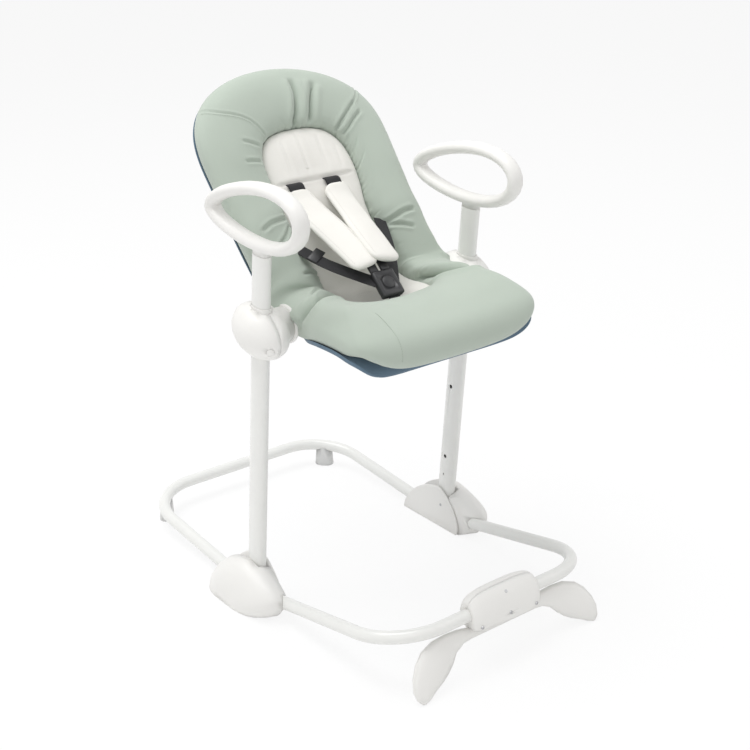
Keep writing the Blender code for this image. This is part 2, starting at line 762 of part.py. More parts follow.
def make_hubs(build, height, plastic, steel):
    """Each hub: an egg split into two shells round a bush, with a drum that carries the seat."""
    for side, mark in ((-1, "R"), (1, "L")):
        x = side * UPRIGHT_X
        far = 0.2
        outer = build.piece(f"hub_outer_shell_{mark}", hub_egg(side), plastic, height)
        low = (x - side * far, -0.3, 0.3)
        build.cut(outer, box(low, (x + side * GAP / 2, 0.3, 0.9)), "inner_half")
        build.cut(outer, bush_bore(x, GAP), "bush_seat")
        seat, aim = button_seat(side)
        depth = BUTTON_TRAVEL * 2.5
        build.cut(outer, rod(seat - aim * depth, seat + aim * 0.02, BUTTON_R + GAP, 14), "button_well")

        inner = build.piece(f"hub_inner_shell_{mark}", hub_egg(side), plastic, height)
        high = (x + side * far, 0.3, 0.9)
        build.cut(inner, box((x - side * GAP / 2, -0.3, 0.3), high), "outer_half")
        drum = [HUB_CENTRE + Vector((side * k, 0, 0)) for k in (DRUM_FACE_X, UPRIGHT_X - UPRIGHT_WIDTH / 2)]
        build.fuse(inner, rod(*drum, DRUM_R, 24), "drum")
        build.cut(inner, bush_bore(x, GAP), "bush_seat")
        ends = [HUB_CENTRE + Vector((side * k, 0, 0)) for k in (DRUM_FACE_X - 0.01, UPRIGHT_X - 0.0225)]
        build.cut(inner, rod(*ends, RECLINE_AXLE_R + GAP, 14), "axle_hole")

        bush_low = HUB_AT - BUSH_HALF
        bush_high = HUB_AT + BUSH_HALF
        skin = -(SLIDE_GAP + BUSH_WALL)
        rings = oval_post(x, bush_low, bush_high, skin) + oval_post(x, bush_low, bush_high, -SLIDE_GAP)[::-1]
        build.piece(f"glide_bush_{mark}", loft(rings, closed=True), plastic, height)

        button_mesh = loft(
            section_rings(
                [seat - aim * (depth - BUTTON_TRAVEL - GAP), seat + aim * BUTTON_PROUD * 0.4],
                oval(BUTTON_R, BUTTON_R, 14),
                (0, 0, 1),
            )
        )
        button_at = pivot_empty(f"release_button_axis_{mark}", seat, height, height["at"])
        button = build.piece(f"release_button_{mark}", button_mesh, plastic, button_at)
        build.soften(button, BUTTON_PROUD, 1)

        ends = [HUB_CENTRE + Vector((side * k, 0, 0)) for k in (DRUM_FACE_X - DISC_THICK - BRACKET_THICK + 0.001, UPRIGHT_X - 0.0225 - GAP)]
        build.piece(f"recline_axle_{mark}", rod(*ends, RECLINE_AXLE_R, 14), steel, height)


def seat_samples(count=241):
    """The middle line at equal steps: its distance from the front edge, then SEAT_LINE's values."""
    dense = smooth_curve(SEAT_LINE, 40)
    lengths = [0.0]
    for a, b in zip(dense, dense[1:]):
        lengths.append(lengths[-1] + (b.xy - a.xy).length)
    found = []
    at = 0
    for i in range(count):
        want = lengths[-1] * i / (count - 1)
        while at < len(lengths) - 2 and lengths[at + 1] < want:
            at += 1
        span = lengths[at + 1] - lengths[at]
        t = (want - lengths[at]) / span if span else 0.0
        p = dense[at].lerp(dense[at + 1], t)
        found.append((want, *p))
    return found


class Seat:
    """The sling's curved surface: x across, t along its side line, and a height in front of it."""

    def __init__(self):
        self.rows = seat_samples()
        self.length = self.rows[-1][0]
        self.step = self.length / (len(self.rows) - 1)

    def line(self, t):
        where = min(max(t / self.step, 0.0), len(self.rows) - 1.001)
        i = int(where)
        k = where - i
        low = Vector(self.rows[i][1:])
        return low.lerp(Vector(self.rows[i + 1][1:]), k)

    def frame(self, t):
        span = 0.012
        a = self.line(t - span)
        b = self.line(t + span)
        p = self.line(t)
        along = Vector((0, b.x - a.x, b.y - a.y)).normalized()
        return Vector((0, p.x, p.y)), along, Vector((0, -along.z, along.y))

    def half_width(self, t, extra=0.0):
        """Half the width, drawn in to a rounded front and a rounded top."""
        width = self.line(t).z + extra
        for distance, reach, power in (
            (self.length - t + extra, SEAT_TOP_ROUND, 2.7),
            (t + extra, SEAT_FRONT_ROUND, 2.6),
        ):
            if distance < reach:
                width *= math.sqrt(max(0.0, 1 - (1 - max(distance, 0.0) / reach) ** power))
        return width

    def bowl(self, x, t):
        """How far the surface curls up towards its sides."""
        row = self.line(t)
        return row.w * min(1.3, abs(x / row.z) ** 2.2)

    def place(self, x, t, off):
        point, _, normal = self.frame(t)
        return Vector((x, 0, 0)) + point + normal * (self.bowl(x, t) + off)

    def edge(self, t):
        """The thickness left near the front and top edges, as a share."""
        near = max(0.0, min(t, self.length - t)) / SEAT_EDGE_ROUND
        return math.sqrt(max(0.0, 1 - (1 - min(1.0, near)) ** 2))

    def seam(self, x, t):
        """Distance outside the line where the padded rim is sewn to the middle, negative inside."""
        middle = (LINER_LOW + LINER_HIGH) / 2
        half = (LINER_HIGH - LINER_LOW) / 2
        p = LINER_ROUND
        ratio = (abs(x / LINER_HALF) ** p + abs((t - middle) / half) ** p) ** (1 / p)
        return (ratio - 1) * LINER_HALF

    def front(self, x, t, width):
        """Height of the cushion's face: low in the middle, crowned round the rim, drawn in at tufts."""
        outside = self.seam(x, t)
        if outside <= 0:
            return CUSHION_MIDDLE
        inside = max(1e-5, width - abs(x), 0.0)
        inside = min(inside, max(1e-5, t), max(1e-5, self.length - t))
        share = outside / (outside + inside)
        crown = math.sqrt(max(0.0, 4 * share * (1 - share)))
        top = max(0.0, min(1.0, (t - LINER_HIGH + 0.06) / 0.08))
        gather = SEWN_TUFT * top * crown * math.cos(TUFTS_ACROSS * math.pi * x / width)
        return CUSHION_MIDDLE + (CUSHION_CROWN - CUSHION_MIDDLE) * crown + gather


def cushion_stations(seat, count=31):
    """Places along the side line, closer together near the front and top edges."""
    found = []
    for i in range(count):
        k = i / (count - 1)
        eased = 0.35 * (0.5 - 0.5 * math.cos(math.pi * k)) + 0.65 * k
        found.append(seat.length * (0.004 + 0.992 * eased))
    return found


def cushion_ring(seat, t, half_ring=15):
    """(x, height) pairs round the cushion at one station: the face first, then the back."""
    width = seat.half_width(t)
    edge = seat.edge(t)
    found = []
    for j in range(2 * half_ring):
        turn = math.pi * (j + 0.5) / half_ring
        x = width * math.cos(turn)
        lift = abs(math.sin(turn)) ** 0.5 * edge
        high = seat.front(x, t, width) * lift
        found.append((x, high if math.sin(turn) > 0 else -CUSHION_BACK * lift))
    return found


def liner_rings(seat, grow, low, high):
    """The centre pad's outline grown by `grow`, from a height `low` to a softly domed `high`."""
    rings = []
    stations = 16
    middle = (LINER_LOW + LINER_HIGH) / 2
    half = (LINER_HIGH - LINER_LOW) / 2 - LINER_FIT * 6 + grow
    side = LINER_HALF - LINER_FIT * 6 + grow
    count = 9
    for i in range(stations):
        k = -math.cos(math.pi * (i + 0.35) / (stations - 0.3))
        width = side * (1 - abs(k) ** LINER_ROUND) ** (1 / LINER_ROUND)
        xs = [width * math.cos(math.pi * j / (count - 1)) for j in range(count)]
        soft = [1 - (x / width) ** 4 * 0.5 - abs(k) ** 6 * 0.35 for x in xs]
        t = middle + half * k
        top = [seat.place(x, t, low + (high - low) * s) for x, s in zip(xs, soft)]
        under = [seat.place(x, t, low) for x in reversed(xs)]
        rings.append(top + under)
    return rings


def make_cushion(build, seat, recline, sage, cream):
    """The padded cover, with a hollow sewn round its middle, and the pale pad that fills it."""
    rings = []
    for t in cushion_stations(seat):
        rings.append([seat.place(x, t, off) for x, off in cushion_ring(seat, t)])
    cushion = build.piece("seat_cushion", loft(rings, split=True), sage, recline, 70)
    floor = CUSHION_MIDDLE - LINER_FIT * 4
    hollow = liner_rings(seat, LINER_FIT, floor, floor + CUSHION_CROWN * 2.2)
    build.cut(cushion, loft(hollow, split=True), "middle")
    pad = liner_rings(seat, 0.0, floor + LINER_FIT, floor + LINER_FIT + LINER_THICK)
    middle = build.piece("centre_pad", loft(pad, split=True), cream, recline, 60)
    return cushion, middle


def make_sling(build, seat, recline, slate):
    """The fabric sling under the cushion, with a hem that stands a little proud of it."""
    rings = []
    for t in cushion_stations(seat):
        back = [pair for pair in cushion_ring(seat, t) if pair[1] < 0]
        reach = abs(back[0][0]) + SLING_HEM * min(1.0, 0.3 + seat.edge(t))
        edge = back[0][1]
        pairs = [(-reach, edge * 0.4)] + back + [(reach, edge * 0.4)]
        near = [seat.place(x, t, off - SLING_GAP) for x, off in pairs]
        far = [seat.place(x, t, off - SLING_GAP - SLING_THICK) for x, off in pairs]
        rings.append(near + far[::-2])
    build.piece("seat_sling", loft(rings, split=True), slate, recline, 60)


def cushion_depth(seat, x, t):
    """How far the cushion's back lies behind the seat's surface at a place."""
    width = seat.half_width(t)
    inner = max(0.0, 1 - (x / width) ** 2)
    return CUSHION_BACK * inner**0.25 * seat.edge(t)


def seat_tube_path(seat, count=23):
    """The closed frame loop behind the sling: up the left side, across the top and down the right."""
    low = SEAT_TUBE_LOW
    high = seat.length - SEAT_TUBE_HIGH
    left = []
    for i in range(count):
        k = (i + 0.5) / count
        t = low + (high - low) * (0.45 * (0.5 - 0.5 * math.cos(math.pi * k)) + 0.55 * k)
        near = min(1.0, (t - low) / SEAT_TUBE_ROUND, (high - t) / SEAT_TUBE_ROUND)
        x = SEAT_TUBE_INSET * seat.line(t).z * math.sqrt(1 - (1 - near) ** 2.4)
        left.append((x, t))
    path = []
    facing = []
    for x, t in left + [(-x, t) for x, t in reversed(left)]:
        depth = cushion_depth(seat, x, t) + SLING_GAP + SLING_THICK + SEAT_TUBE_CLEAR + SEAT_TUBE_R
        path.append(seat.place(x, t, -depth))
        facing.append(seat.frame(t)[2])
    return path, facing


def bracket_outline(centre, drop):
    """A teardrop round the recline pivot that reaches down to the frame tube."""
    outline = []
    for i in range(19):
        turn = math.radians(-30 + 240 * i / 18)
        outline.append((centre.y + BRACKET_R * math.cos(turn), centre.z + BRACKET_R * math.sin(turn)))
    half = BRACKET_SHELF_LONG / 2
    outline.append((centre.y - half, centre.z - drop))
    outline.append((centre.y + half, centre.z - drop))
    return outline


def make_seat_frame(build, seat, recline, paint_white, plastic, grey):
    path, facing = seat_tube_path(seat)
    build.piece("seat_frame_tube", tube(path, SEAT_TUBE_R, 8, facing, closed=True), paint_white, recline)
    tube_z = min((p for p in path if p.x > 0), key=lambda p: abs(p.y - HUB_CENTRE.y)).z
    disc_out = DRUM_FACE_X - GAP
    disc_in = DRUM_FACE_X - DISC_THICK
    plate_out = disc_in - GAP
    plate_in = plate_out - BRACKET_THICK
    for side, mark in ((-1, "R"), (1, "L")):
        ends = [HUB_CENTRE + Vector((side * k, 0, 0)) for k in (disc_in, disc_out)]
        disc = build.piece(f"recline_disc_{mark}", rod(*ends, DISC_R, 28), plastic, recline)
        build.soften(disc, 0.0018, 1)
        hole = [HUB_CENTRE + Vector((side * k, 0, 0)) for k in (disc_in - 0.02, disc_out + 0.02)]
        build.cut(disc, rod(*hole, RECLINE_AXLE_R + GAP, 14), "axle_hole")

        drop = HUB_CENTRE.z - tube_z + BRACKET_SHELF_DEEP
        outline = bracket_outline(HUB_CENTRE, drop)
        bracket = build.piece(f"seat_bracket_{mark}", slab(outline, side * plate_in, side * plate_out), grey, recline)
        half = BRACKET_SHELF_LONG / 2
        low = (side * (plate_in - BRACKET_SHELF), HUB_CENTRE.y - half, HUB_CENTRE.z - drop)
        high = (side * (plate_in + 0.001), HUB_CENTRE.y + half, tube_z - 0.0015)
        build.fuse(bracket, box(low, high), "shelf")
        build.cut(bracket, tube(path, SEAT_TUBE_R + GAP, 8, facing, closed=True), "tube_saddle")
        hole = [HUB_CENTRE + Vector((side * k, 0, 0)) for k in (plate_in - 0.0005, plate_out + 0.02)]
        build.cut(bracket, rod(*hole, RECLINE_AXLE_R + GAP, 14), "axle_hole")


def ribbon(points, width, thick, facing, steps=4, power=6.0, sides=8):
    """A strap along a smooth path, its broad side towards `facing`."""
    path = smooth_curve(points, steps)
    last = len(path) - 1
    across = [(path[min(i + 1, last)] - path[max(i - 1, 0)]).cross(facing) for i in range(last + 1)]
    return loft(section_rings(path, oval(width / 2, thick / 2, sides, power), across))


def block(centre, size, turn, rounding=0.0):
    """A box of the given size, turned about its own middle."""
    mesh = bmesh.new()
    bmesh.ops.create_cube(mesh, size=1.0)
    for vertex in mesh.verts:
        vertex.co = Vector([vertex.co[i] * size[i] for i in range(3)])
    if rounding:
        bmesh.ops.bevel(mesh, geom=mesh.edges[:], offset=rounding, segments=2, profile=0.5, affect="EDGES")
    bmesh.ops.transform(mesh, matrix=Matrix.Translation(centre) @ turn.to_4x4(), verts=mesh.verts)
    return mesh


def make_harness(build, seat, recline, covers, cream, webbing, grey, dark):
    """Two padded shoulder straps, two waist straps and a crotch strap, meeting at one buckle."""
    tilt = Matrix.Rotation(BUCKLE_TILT, 3, "X")
    buckle_up = tilt @ Vector((0, 0, 1))
    buckle_fore = tilt @ Vector((0, -1, 0))
    half = Vector(BUCKLE_SIZE) / 2
    liner_top = CUSHION_MIDDLE - LINER_FIT * 3 + LINER_THICK
    cushion, centre_pad = covers
    for side, mark in ((-1, "R"), (1, "L")):
        outwards = Vector((0.12 * side, 0, 0))
        lift = liner_top + PAD_THICK / 2
        start = seat.place(side * 0.045, SLIT_AT, lift - 0.0010)
        second = seat.place(side * 0.045, SLIT_AT - 0.035, lift + 0.0055)
        sideways = Vector((side * half.x * 0.52, 0, 0))
        tongue = BUCKLE_AT + sideways - buckle_fore * (half.y + TONGUE_SIZE[1] / 2 + GAP)
        over_tongue = TONGUE_SIZE[2] / 2 + PAD_THICK / 2 + PAD_ABOVE_TONGUE
        end = tongue - buckle_fore * 0.004 + buckle_up * over_tongue
        end.x = side * 0.0257
        middle = start.lerp(end, 0.62) + Vector((0, 0.004, -0.004))
        facing = Vector((0, -0.75, 0.66)) + outwards
        pad = ribbon([start, second, middle, end], PAD_WIDTH, PAD_THICK, facing, 4, 3.2, 12)
        build.piece(f"shoulder_pad_{mark}", pad, cream, recline, 60)
        room = ribbon([start, second, middle, end], PAD_WIDTH + 2 * GAP, PAD_THICK + 2 * GAP, facing, 4, 3.2, 12)
        build.cut(centre_pad, room, f"shoulder_slit_{mark}")
        tail = tongue - buckle_fore * (TONGUE_SIZE[1] / 2 + GAP * 2)
        under_pad = tail + (middle - end).normalized() * 0.014
        knee = tail - buckle_fore * 0.003
        strip = oval(WEB_WIDTH * 0.4, WEB_THICK / 2, 8, 6.0)
        web = [[at + Vector((a, 0, 0)) + buckle_up * b for a, b in strip] for at in (under_pad, knee, tail)]
        build.piece(f"shoulder_web_{mark}", loft(web), webbing, recline)
        tongue_mesh = block(tongue, TONGUE_SIZE, tilt, 0.0012)
        build.piece(f"buckle_tongue_{mark}", tongue_mesh, dark, recline)

        root = seat.place(side * (LINER_HALF - 0.002), WAIST_AT, liner_top + 0.006)
        inside = BUCKLE_AT + Vector((side * half.x * 0.4, 0, 0)) - buckle_fore * (half.y * 0.2)
        sag = Vector((side * 0.004, 0.004, -0.005))
        waist = [root, root.lerp(inside, 0.5) + sag, inside]
        strap = build.piece(
            f"waist_web_{mark}", ribbon(waist, WEB_WIDTH, WEB_THICK, buckle_up, 5), webbing, recline
        )
        beside = half.x + GAP
        build.cut(strap, box((-beside, -0.3, 0.4), (beside, 0.2, 0.9)), "buckle_side")
        if side < 0:
            at = smooth_curve(waist, 5)[3]
            along = (waist[1] - waist[0]).normalized()
            turn = Matrix((along.cross(buckle_up).normalized(), along, buckle_up)).transposed()
            slide = build.piece("waist_adjuster", block(at, ADJUSTER_SIZE, turn, 0.0012), dark, recline)
            slot = ribbon(waist, WEB_WIDTH + 2 * GAP, WEB_THICK + 2 * GAP, buckle_up, 5)
            build.cut(slide, slot, "strap_slot")
        for cover in (cushion, centre_pad):
            slot = ribbon(waist, WEB_WIDTH + 2 * GAP, WEB_THICK + 2 * GAP, buckle_up, 5)
            build.cut(cover, slot, f"waist_slit_{mark}")

    body = build.piece("buckle_body", block(BUCKLE_AT, BUCKLE_SIZE, tilt, 0.004), grey, recline, 60)
    face = BUCKLE_AT + buckle_up * half.z
    well = rod(face - buckle_up * (BUCKLE_BUTTON_TRAVEL * 2.4), face + buckle_up * 0.01, BUCKLE_BUTTON_R + GAP, 18)
    build.cut(body, well, "button_well")
    button_at = pivot_empty("buckle_button_axis", face, recline, recline["at"])
    press = rod(face - buckle_up * (BUCKLE_BUTTON_TRAVEL * 1.3), face + buckle_up * 0.0008, BUCKLE_BUTTON_R, 18)
    button = build.piece("buckle_button", press, dark, button_at)
    build.soften(button, 0.0008, 1)

    top = BUCKLE_AT + buckle_fore * (half.y + GAP * 2)
    foot = seat.place(0, CROTCH_AT, CUSHION_MIDDLE - 0.002)
    crotch = [top, top + buckle_fore * 0.004, foot + Vector((0, -0.004, 0.012)), foot]
    build.piece("crotch_web", ribbon(crotch, WEB_WIDTH, WEB_THICK, buckle_up, 3), webbing, recline)
    for cover in (cushion, centre_pad):
        slot = ribbon(crotch, WEB_WIDTH + 2 * GAP, WEB_THICK + 2 * GAP, buckle_up, 3)
        build.cut(cover, slot, "crotch_slit")


def main():
    clear_scene()
    white = paint("white_enamel", (0.80, 0.80, 0.77), 0.32)
    plastic = paint("white_plastic", (0.82, 0.81, 0.79), 0.42)
    rubber = paint("pale_rubber", (0.70, 0.70, 0.68), 0.70)
    steel = paint("steel", (0.55, 0.55, 0.56), 0.30, 1.0)
    grey = paint("grey_plastic", (0.10, 0.11, 0.12), 0.50)
    dark = paint("dark_plastic", (0.05, 0.05, 0.055), 0.45)
    sage = paint("sage_cloth", (0.50, 0.58, 0.50), 0.92)
    cream = paint("cream_cloth", (0.84, 0.82, 0.77), 0.95)
    slate = paint("slate_cloth", (0.13, 0.19, 0.25), 0.90)
    webbing = paint("black_webbing", (0.035, 0.035, 0.04), 0.85)

    root = pivot_empty("bouncer", (0, 0, 0))
    root.location = (0, origin_shift(), 0)
    fold = pivot_empty("fold_axis", PIVOT, root)
    height = pivot_empty("height_axis", HUB_CENTRE, fold, PIVOT)
    recline = pivot_empty("recline_axis", HUB_CENTRE, height, HUB_CENTRE)

    build = Builder(root)
    seat = Seat()
    make_base(build, white, plastic, rubber, steel)
    make_uprights(build, fold, white, plastic)
    make_hubs(build, height, plastic, steel)
    covers = make_cushion(build, seat, recline, sage, cream)
    make_sling(build, seat, recline, slate)
    make_seat_frame(build, seat, recline, white, plastic, grey)
    make_harness(build, seat, recline, covers, cream, webbing, grey, dark)


main()
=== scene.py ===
"""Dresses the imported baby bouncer: padded cover, pale middle pad, harness, enamelled tubes and shells."""

import json
import math

import bmesh
import bpy
import numpy as np
from bpy.props import FloatProperty, FloatVectorProperty, IntProperty, PointerProperty
from mathutils import Matrix, Vector


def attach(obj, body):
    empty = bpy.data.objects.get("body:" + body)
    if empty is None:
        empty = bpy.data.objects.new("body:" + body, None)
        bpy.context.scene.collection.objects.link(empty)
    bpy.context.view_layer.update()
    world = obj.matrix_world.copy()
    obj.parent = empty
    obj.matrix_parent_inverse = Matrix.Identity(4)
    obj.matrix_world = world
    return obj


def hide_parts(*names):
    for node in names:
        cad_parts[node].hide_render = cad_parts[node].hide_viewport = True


bl_info = {
    "name": "Baby Bouncer",
    "version": (1, 0, 0),
    "blender": (4, 5, 0),
    "location": "3D View > Sidebar > Bouncer",
    "description": "Builds the look of a baby bouncer piece by piece over its packed solids",
    "category": "Object",
}

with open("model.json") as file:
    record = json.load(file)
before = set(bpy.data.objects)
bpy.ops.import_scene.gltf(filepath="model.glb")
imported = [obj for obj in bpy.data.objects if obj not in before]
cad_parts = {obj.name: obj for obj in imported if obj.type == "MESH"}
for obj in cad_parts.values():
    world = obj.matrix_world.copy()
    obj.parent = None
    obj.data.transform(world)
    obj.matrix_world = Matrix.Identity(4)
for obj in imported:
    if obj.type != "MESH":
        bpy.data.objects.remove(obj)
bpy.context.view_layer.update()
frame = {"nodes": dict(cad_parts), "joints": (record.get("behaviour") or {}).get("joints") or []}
joints = {joint["name"]: joint for joint in frame["joints"]}
HUB = Vector(joints["seat_recline"]["pos_m"])

# The posts lean forward, and the hubs sit this far up them
LEAN = math.radians(4.64)
HUB_UP_POST = 0.5665
POST_FOOT_Y = HUB.y + HUB_UP_POST * math.sin(LEAN)

# Middle line of the seat, front edge to top edge:
# y from the posts' feet, z, half width and rise of the sides
SEAT_LINE = (
    (-0.276, 0.520, 0.196, 0.016),
    (-0.282, 0.535, 0.198, 0.018),
    (-0.277, 0.549, 0.200, 0.022),
    (-0.260, 0.559, 0.203, 0.028),
    (-0.220, 0.565, 0.207, 0.032),
    (-0.165, 0.562, 0.205, 0.034),
    (-0.118, 0.555, 0.190, 0.030),
    (-0.070, 0.549, 0.168, 0.026),
    (-0.020, 0.548, 0.166, 0.026),
    (0.024, 0.557, 0.178, 0.042),
    (0.054, 0.589, 0.192, 0.048),
    (0.078, 0.628, 0.199, 0.044),
    (0.109, 0.676, 0.203, 0.038),
    (0.149, 0.739, 0.206, 0.030),
    (0.195, 0.809, 0.209, 0.022),
    (0.238, 0.876, 0.212, 0.018),
    (0.281, 0.941, 0.211, 0.018),
)

# Where the pale pad starts and ends along the seat, then the cover's height at its seam, its lift and the
# sling's hang at the front, the drop of its side edges, the hem that shows below, and the sling as cut
PAD_LOW = 0.205
PAD_HIGH = 0.674
FACE_AT_SEAM = 0.013
FRONT_RAISED = 0.012
FRONT_HANG = 0.021
SKIRT_DROP = 0.016
HEM_SHOWN = 0.0010

# Seam round the pale pad, as (across, along) from the middle of its front, up the child's left side and
# down the right
PAD_SEAM = (
    (0.000, 0.205),
    (0.050, 0.203),
    (0.094, 0.205),
    (0.120, 0.224),
    (0.124, 0.262),
    (0.118, 0.310),
    (0.115, 0.360),
    (0.113, 0.405),
    (0.108, 0.450),
    (0.106, 0.500),
    (0.111, 0.545),
    (0.112, 0.590),
    (0.102, 0.632),
    (0.078, 0.660),
    (0.044, 0.672),
    (0.008, 0.674),
    (-0.026, 0.672),
    (-0.060, 0.660),
    (-0.081, 0.632),
    (-0.087, 0.590),
    (-0.084, 0.540),
    (-0.075, 0.490),
    (-0.064, 0.440),
    (-0.058, 0.390),
    (-0.057, 0.330),
    (-0.061, 0.280),
    (-0.068, 0.245),
    (-0.064, 0.221),
    (-0.042, 0.208),
)


def length(label, text, value):
    return FloatProperty(name=label, description=text, default=value, unit="LENGTH")


def tint(label, text, value):
    return FloatVectorProperty(name=label, description=text, default=value, subtype="COLOR")


class BouncerSizes(bpy.types.PropertyGroup):
    """Sizes that a user would change."""

    crown: length("Cover Crown", "Height of the padded rim above the sling", 0.044)
    gather_depth: length("Gather Depth", "Depth of the short puckers along the seam", 0.0030)
    gather_count: IntProperty(name="Gathers", description="Short puckers round the pale pad", default=130)
    stitch_gap: length("Stitch Spacing", "Distance from one stitch to the next", 0.0042)
    stitch_width: length("Stitch Thickness", "Thickness of the sewing thread", 0.0005)
    tube_radius: length("Base Tube Radius", "Outside radius of the floor tubes", 0.012)
    frame_radius: length("Seat Tube Radius", "Outside radius of the seat's frame tube", 0.008)
    screw_radius: length("Screw Head Radius", "Radius of the cross-slotted screw heads", 0.0034)


class BouncerColours(bpy.types.PropertyGroup):
    """Colours of the finishes, as linear values."""

    cover: tint("Cover", "Padded cover's cloth", (0.440, 0.498, 0.434))
    cream: tint("Cream", "Middle pad and shoulder pads", (0.800, 0.785, 0.745))
    sling: tint("Sling", "Cloth under the cover", (0.115, 0.175, 0.235))
    webbing: tint("Webbing", "Harness straps", (0.018, 0.018, 0.020))
    buckle: tint("Buckle", "Buckle, tongues and slider", (0.016, 0.016, 0.018))
    enamel: tint("Enamel", "Painted tubes", (0.80, 0.80, 0.775))
    shell: tint("Shell", "Moulded feet, hubs and handles", (0.82, 0.81, 0.785))
    rubber: tint("Rubber", "Rear rubber feet", (0.66, 0.66, 0.65))
    bracket: tint("Bracket", "Brackets between hub and seat", (0.030, 0.032, 0.036))


def sizes():
    return bpy.context.scene.bouncer_sizes


def colours():
    return bpy.context.scene.bouncer_colours


# Numbers and curves


def smooth_rows(points, steps):
    """Catmull-Rom points through rows of any number of values."""
    rows = np.array(points, float)
    padded = np.vstack([rows[:1], rows, rows[-1:]])
    found = []
    for i in range(len(rows) - 1):
        a, b, c, d = padded[i : i + 4]
        t = (np.arange(steps) / steps)[:, None]
        found.append(
            0.5 * (2 * b + (c - a) * t + (2 * a - 5 * b + 4 * c - d) * t**2 + (3 * b - a - 3 * c + d) * t**3)
        )
    found.append(rows[-1:])
    return np.vstack(found)


def arc_lengths(points):
    return np.concatenate([[0.0], np.cumsum(np.linalg.norm(np.diff(points, axis=0), axis=1))])


def even_points(points, count, closed=False):
    """The same line, in `count` points at equal steps. A closed line's last point isn't repeated."""
    points = np.array(points, float)
    if closed:
        points = np.vstack([points, points[:1]])
    along = arc_lengths(points)
    want = np.linspace(0, along[-1], count + 1)[:-1] if closed else np.linspace(0, along[-1], count)
    return np.stack([np.interp(want, along, points[:, k]) for k in range(points.shape[1])], axis=1)


def oval(half_a, half_b, count, power=2.0):
    angle = 2 * np.pi * (np.arange(count) + 0.5) / count
    c, s = np.cos(angle), np.sin(angle)
    a = half_a * np.sign(c) * np.abs(c) ** (2 / power)
    b = half_b * np.sign(s) * np.abs(s) ** (2 / power)
    return np.stack([a, b], axis=1)


def unit(vectors):
    return vectors / np.maximum(np.linalg.norm(vectors, axis=-1, keepdims=True), 1e-12)


def smooth_step(values, start, end):
    """0 before start, 1 after end and an easy rise between them."""
    share = np.clip((np.asarray(values, float) - start) / (end - start), 0, 1)
    return share * share * (3 - 2 * share)


def fade_out(values, start, end):
    """1 before start, 0 after end."""
    return 1 - smooth_step(values, start, end)


def sections(path, outlines, across):
    """Outlines of (a, b) points set square to a path, a along `across`: one, or one for each point."""
    path = np.array(path, float)
    tangent = unit(np.gradient(path, axis=0))
    across = np.broadcast_to(np.array(across, float), path.shape)
    side = unit(across - tangent * np.sum(across * tangent, axis=1, keepdims=True))
    other = np.cross(tangent, side)
    outlines = np.array(outlines, float)
    if outlines.ndim == 2:
        outlines = np.broadcast_to(outlines, (len(path), *outlines.shape))
    return path[:, None] + side[:, None] * outlines[..., :1] + other[:, None] * outlines[..., 1:]


# Meshes


def smooth_faces(data, sharp):
    """Smooth shading, with edges kept sharp from an angle in degrees. 0 keeps none."""
    data.shade_smooth()
    if sharp:
        data.set_sharp_from_angle(angle=math.radians(sharp))


def link(name, data):
    thing = bpy.data.objects.new(name, data)
    bpy.context.scene.collection.objects.link(thing)
    return thing


def tidy(data, merge=1e-6, recalc=True):
    mesh = bmesh.new()
    mesh.from_mesh(data)
    bmesh.ops.remove_doubles(mesh, verts=mesh.verts, dist=merge)
    bmesh.ops.dissolve_degenerate(mesh, edges=mesh.edges, dist=1e-7)
    if recalc:
        bmesh.ops.recalc_face_normals(mesh, faces=mesh.faces)
    mesh.to_mesh(data)
    mesh.free()


def flat_map(rings, u):
    """(u, v) in metres for every ring point, v from the mean distance between the rings."""
    steps = np.linalg.norm(np.diff(rings, axis=0), axis=2).mean(axis=1)
    v = np.concatenate([[0], np.cumsum(steps)])
    return np.stack(np.meshgrid(u, v), axis=-1)


def grid_mesh(name, rings, uv, caps=True, sharp=50.0):
    """A mesh of quads over closed rings of points. `uv` gives each ring point its (u, v) in metres."""
    rings = np.array(rings, float)
    rows, cols = rings.shape[:2]
    index = np.arange(rows * cols).reshape(rows, cols)
    after = np.roll(index, -1, axis=1)
    faces = []
    for i in range(rows - 1):
        faces.extend(np.stack([index[i], after[i], after[i + 1], index[i + 1]], axis=1).tolist())
    if caps:
        faces.append(index[0][::-1].tolist())
        faces.append(index[-1].tolist())
    data = bpy.data.meshes.new(name)
    data.from_pydata(rings.reshape(-1, 3).tolist(), [], faces)
    flat = np.array(uv, float).reshape(-1, 2)
    layer = data.uv_layers.new(name="UVMap")
    loops = np.zeros(len(data.loops), np.int32)
    data.loops.foreach_get("vertex_index", loops)
    values = flat[loops]
    spread = flat[:, 0].max() + (flat[1, 0] - flat[0, 0])
    for face in data.polygons:
        part = values[face.loop_start : face.loop_start + face.loop_total, 0]
        if face.loop_total == 4 and part.max() - part.min() > spread * 0.5:
            part[part < spread * 0.5] += spread
    layer.data.foreach_set("uv", values.ravel())
    tidy(data)
    smooth_faces(data, sharp)
    return link(name, data)


def bm_object(name, mesh):
    bmesh.ops.recalc_face_normals(mesh, faces=mesh.faces)
    data = bpy.data.meshes.new(name)
    mesh.to_mesh(data)
    mesh.free()
    smooth_faces(data, 40)
    return link(name, data)


def apply_modifiers(thing):
    bpy.context.view_layer.update()
    graph = bpy.context.evaluated_depsgraph_get()
    data = bpy.data.meshes.new_from_object(thing.evaluated_get(graph))
    thing.modifiers.clear()
    old = thing.data
    thing.data = data
    if not old.users:
        bpy.data.meshes.remove(old)
    return thing


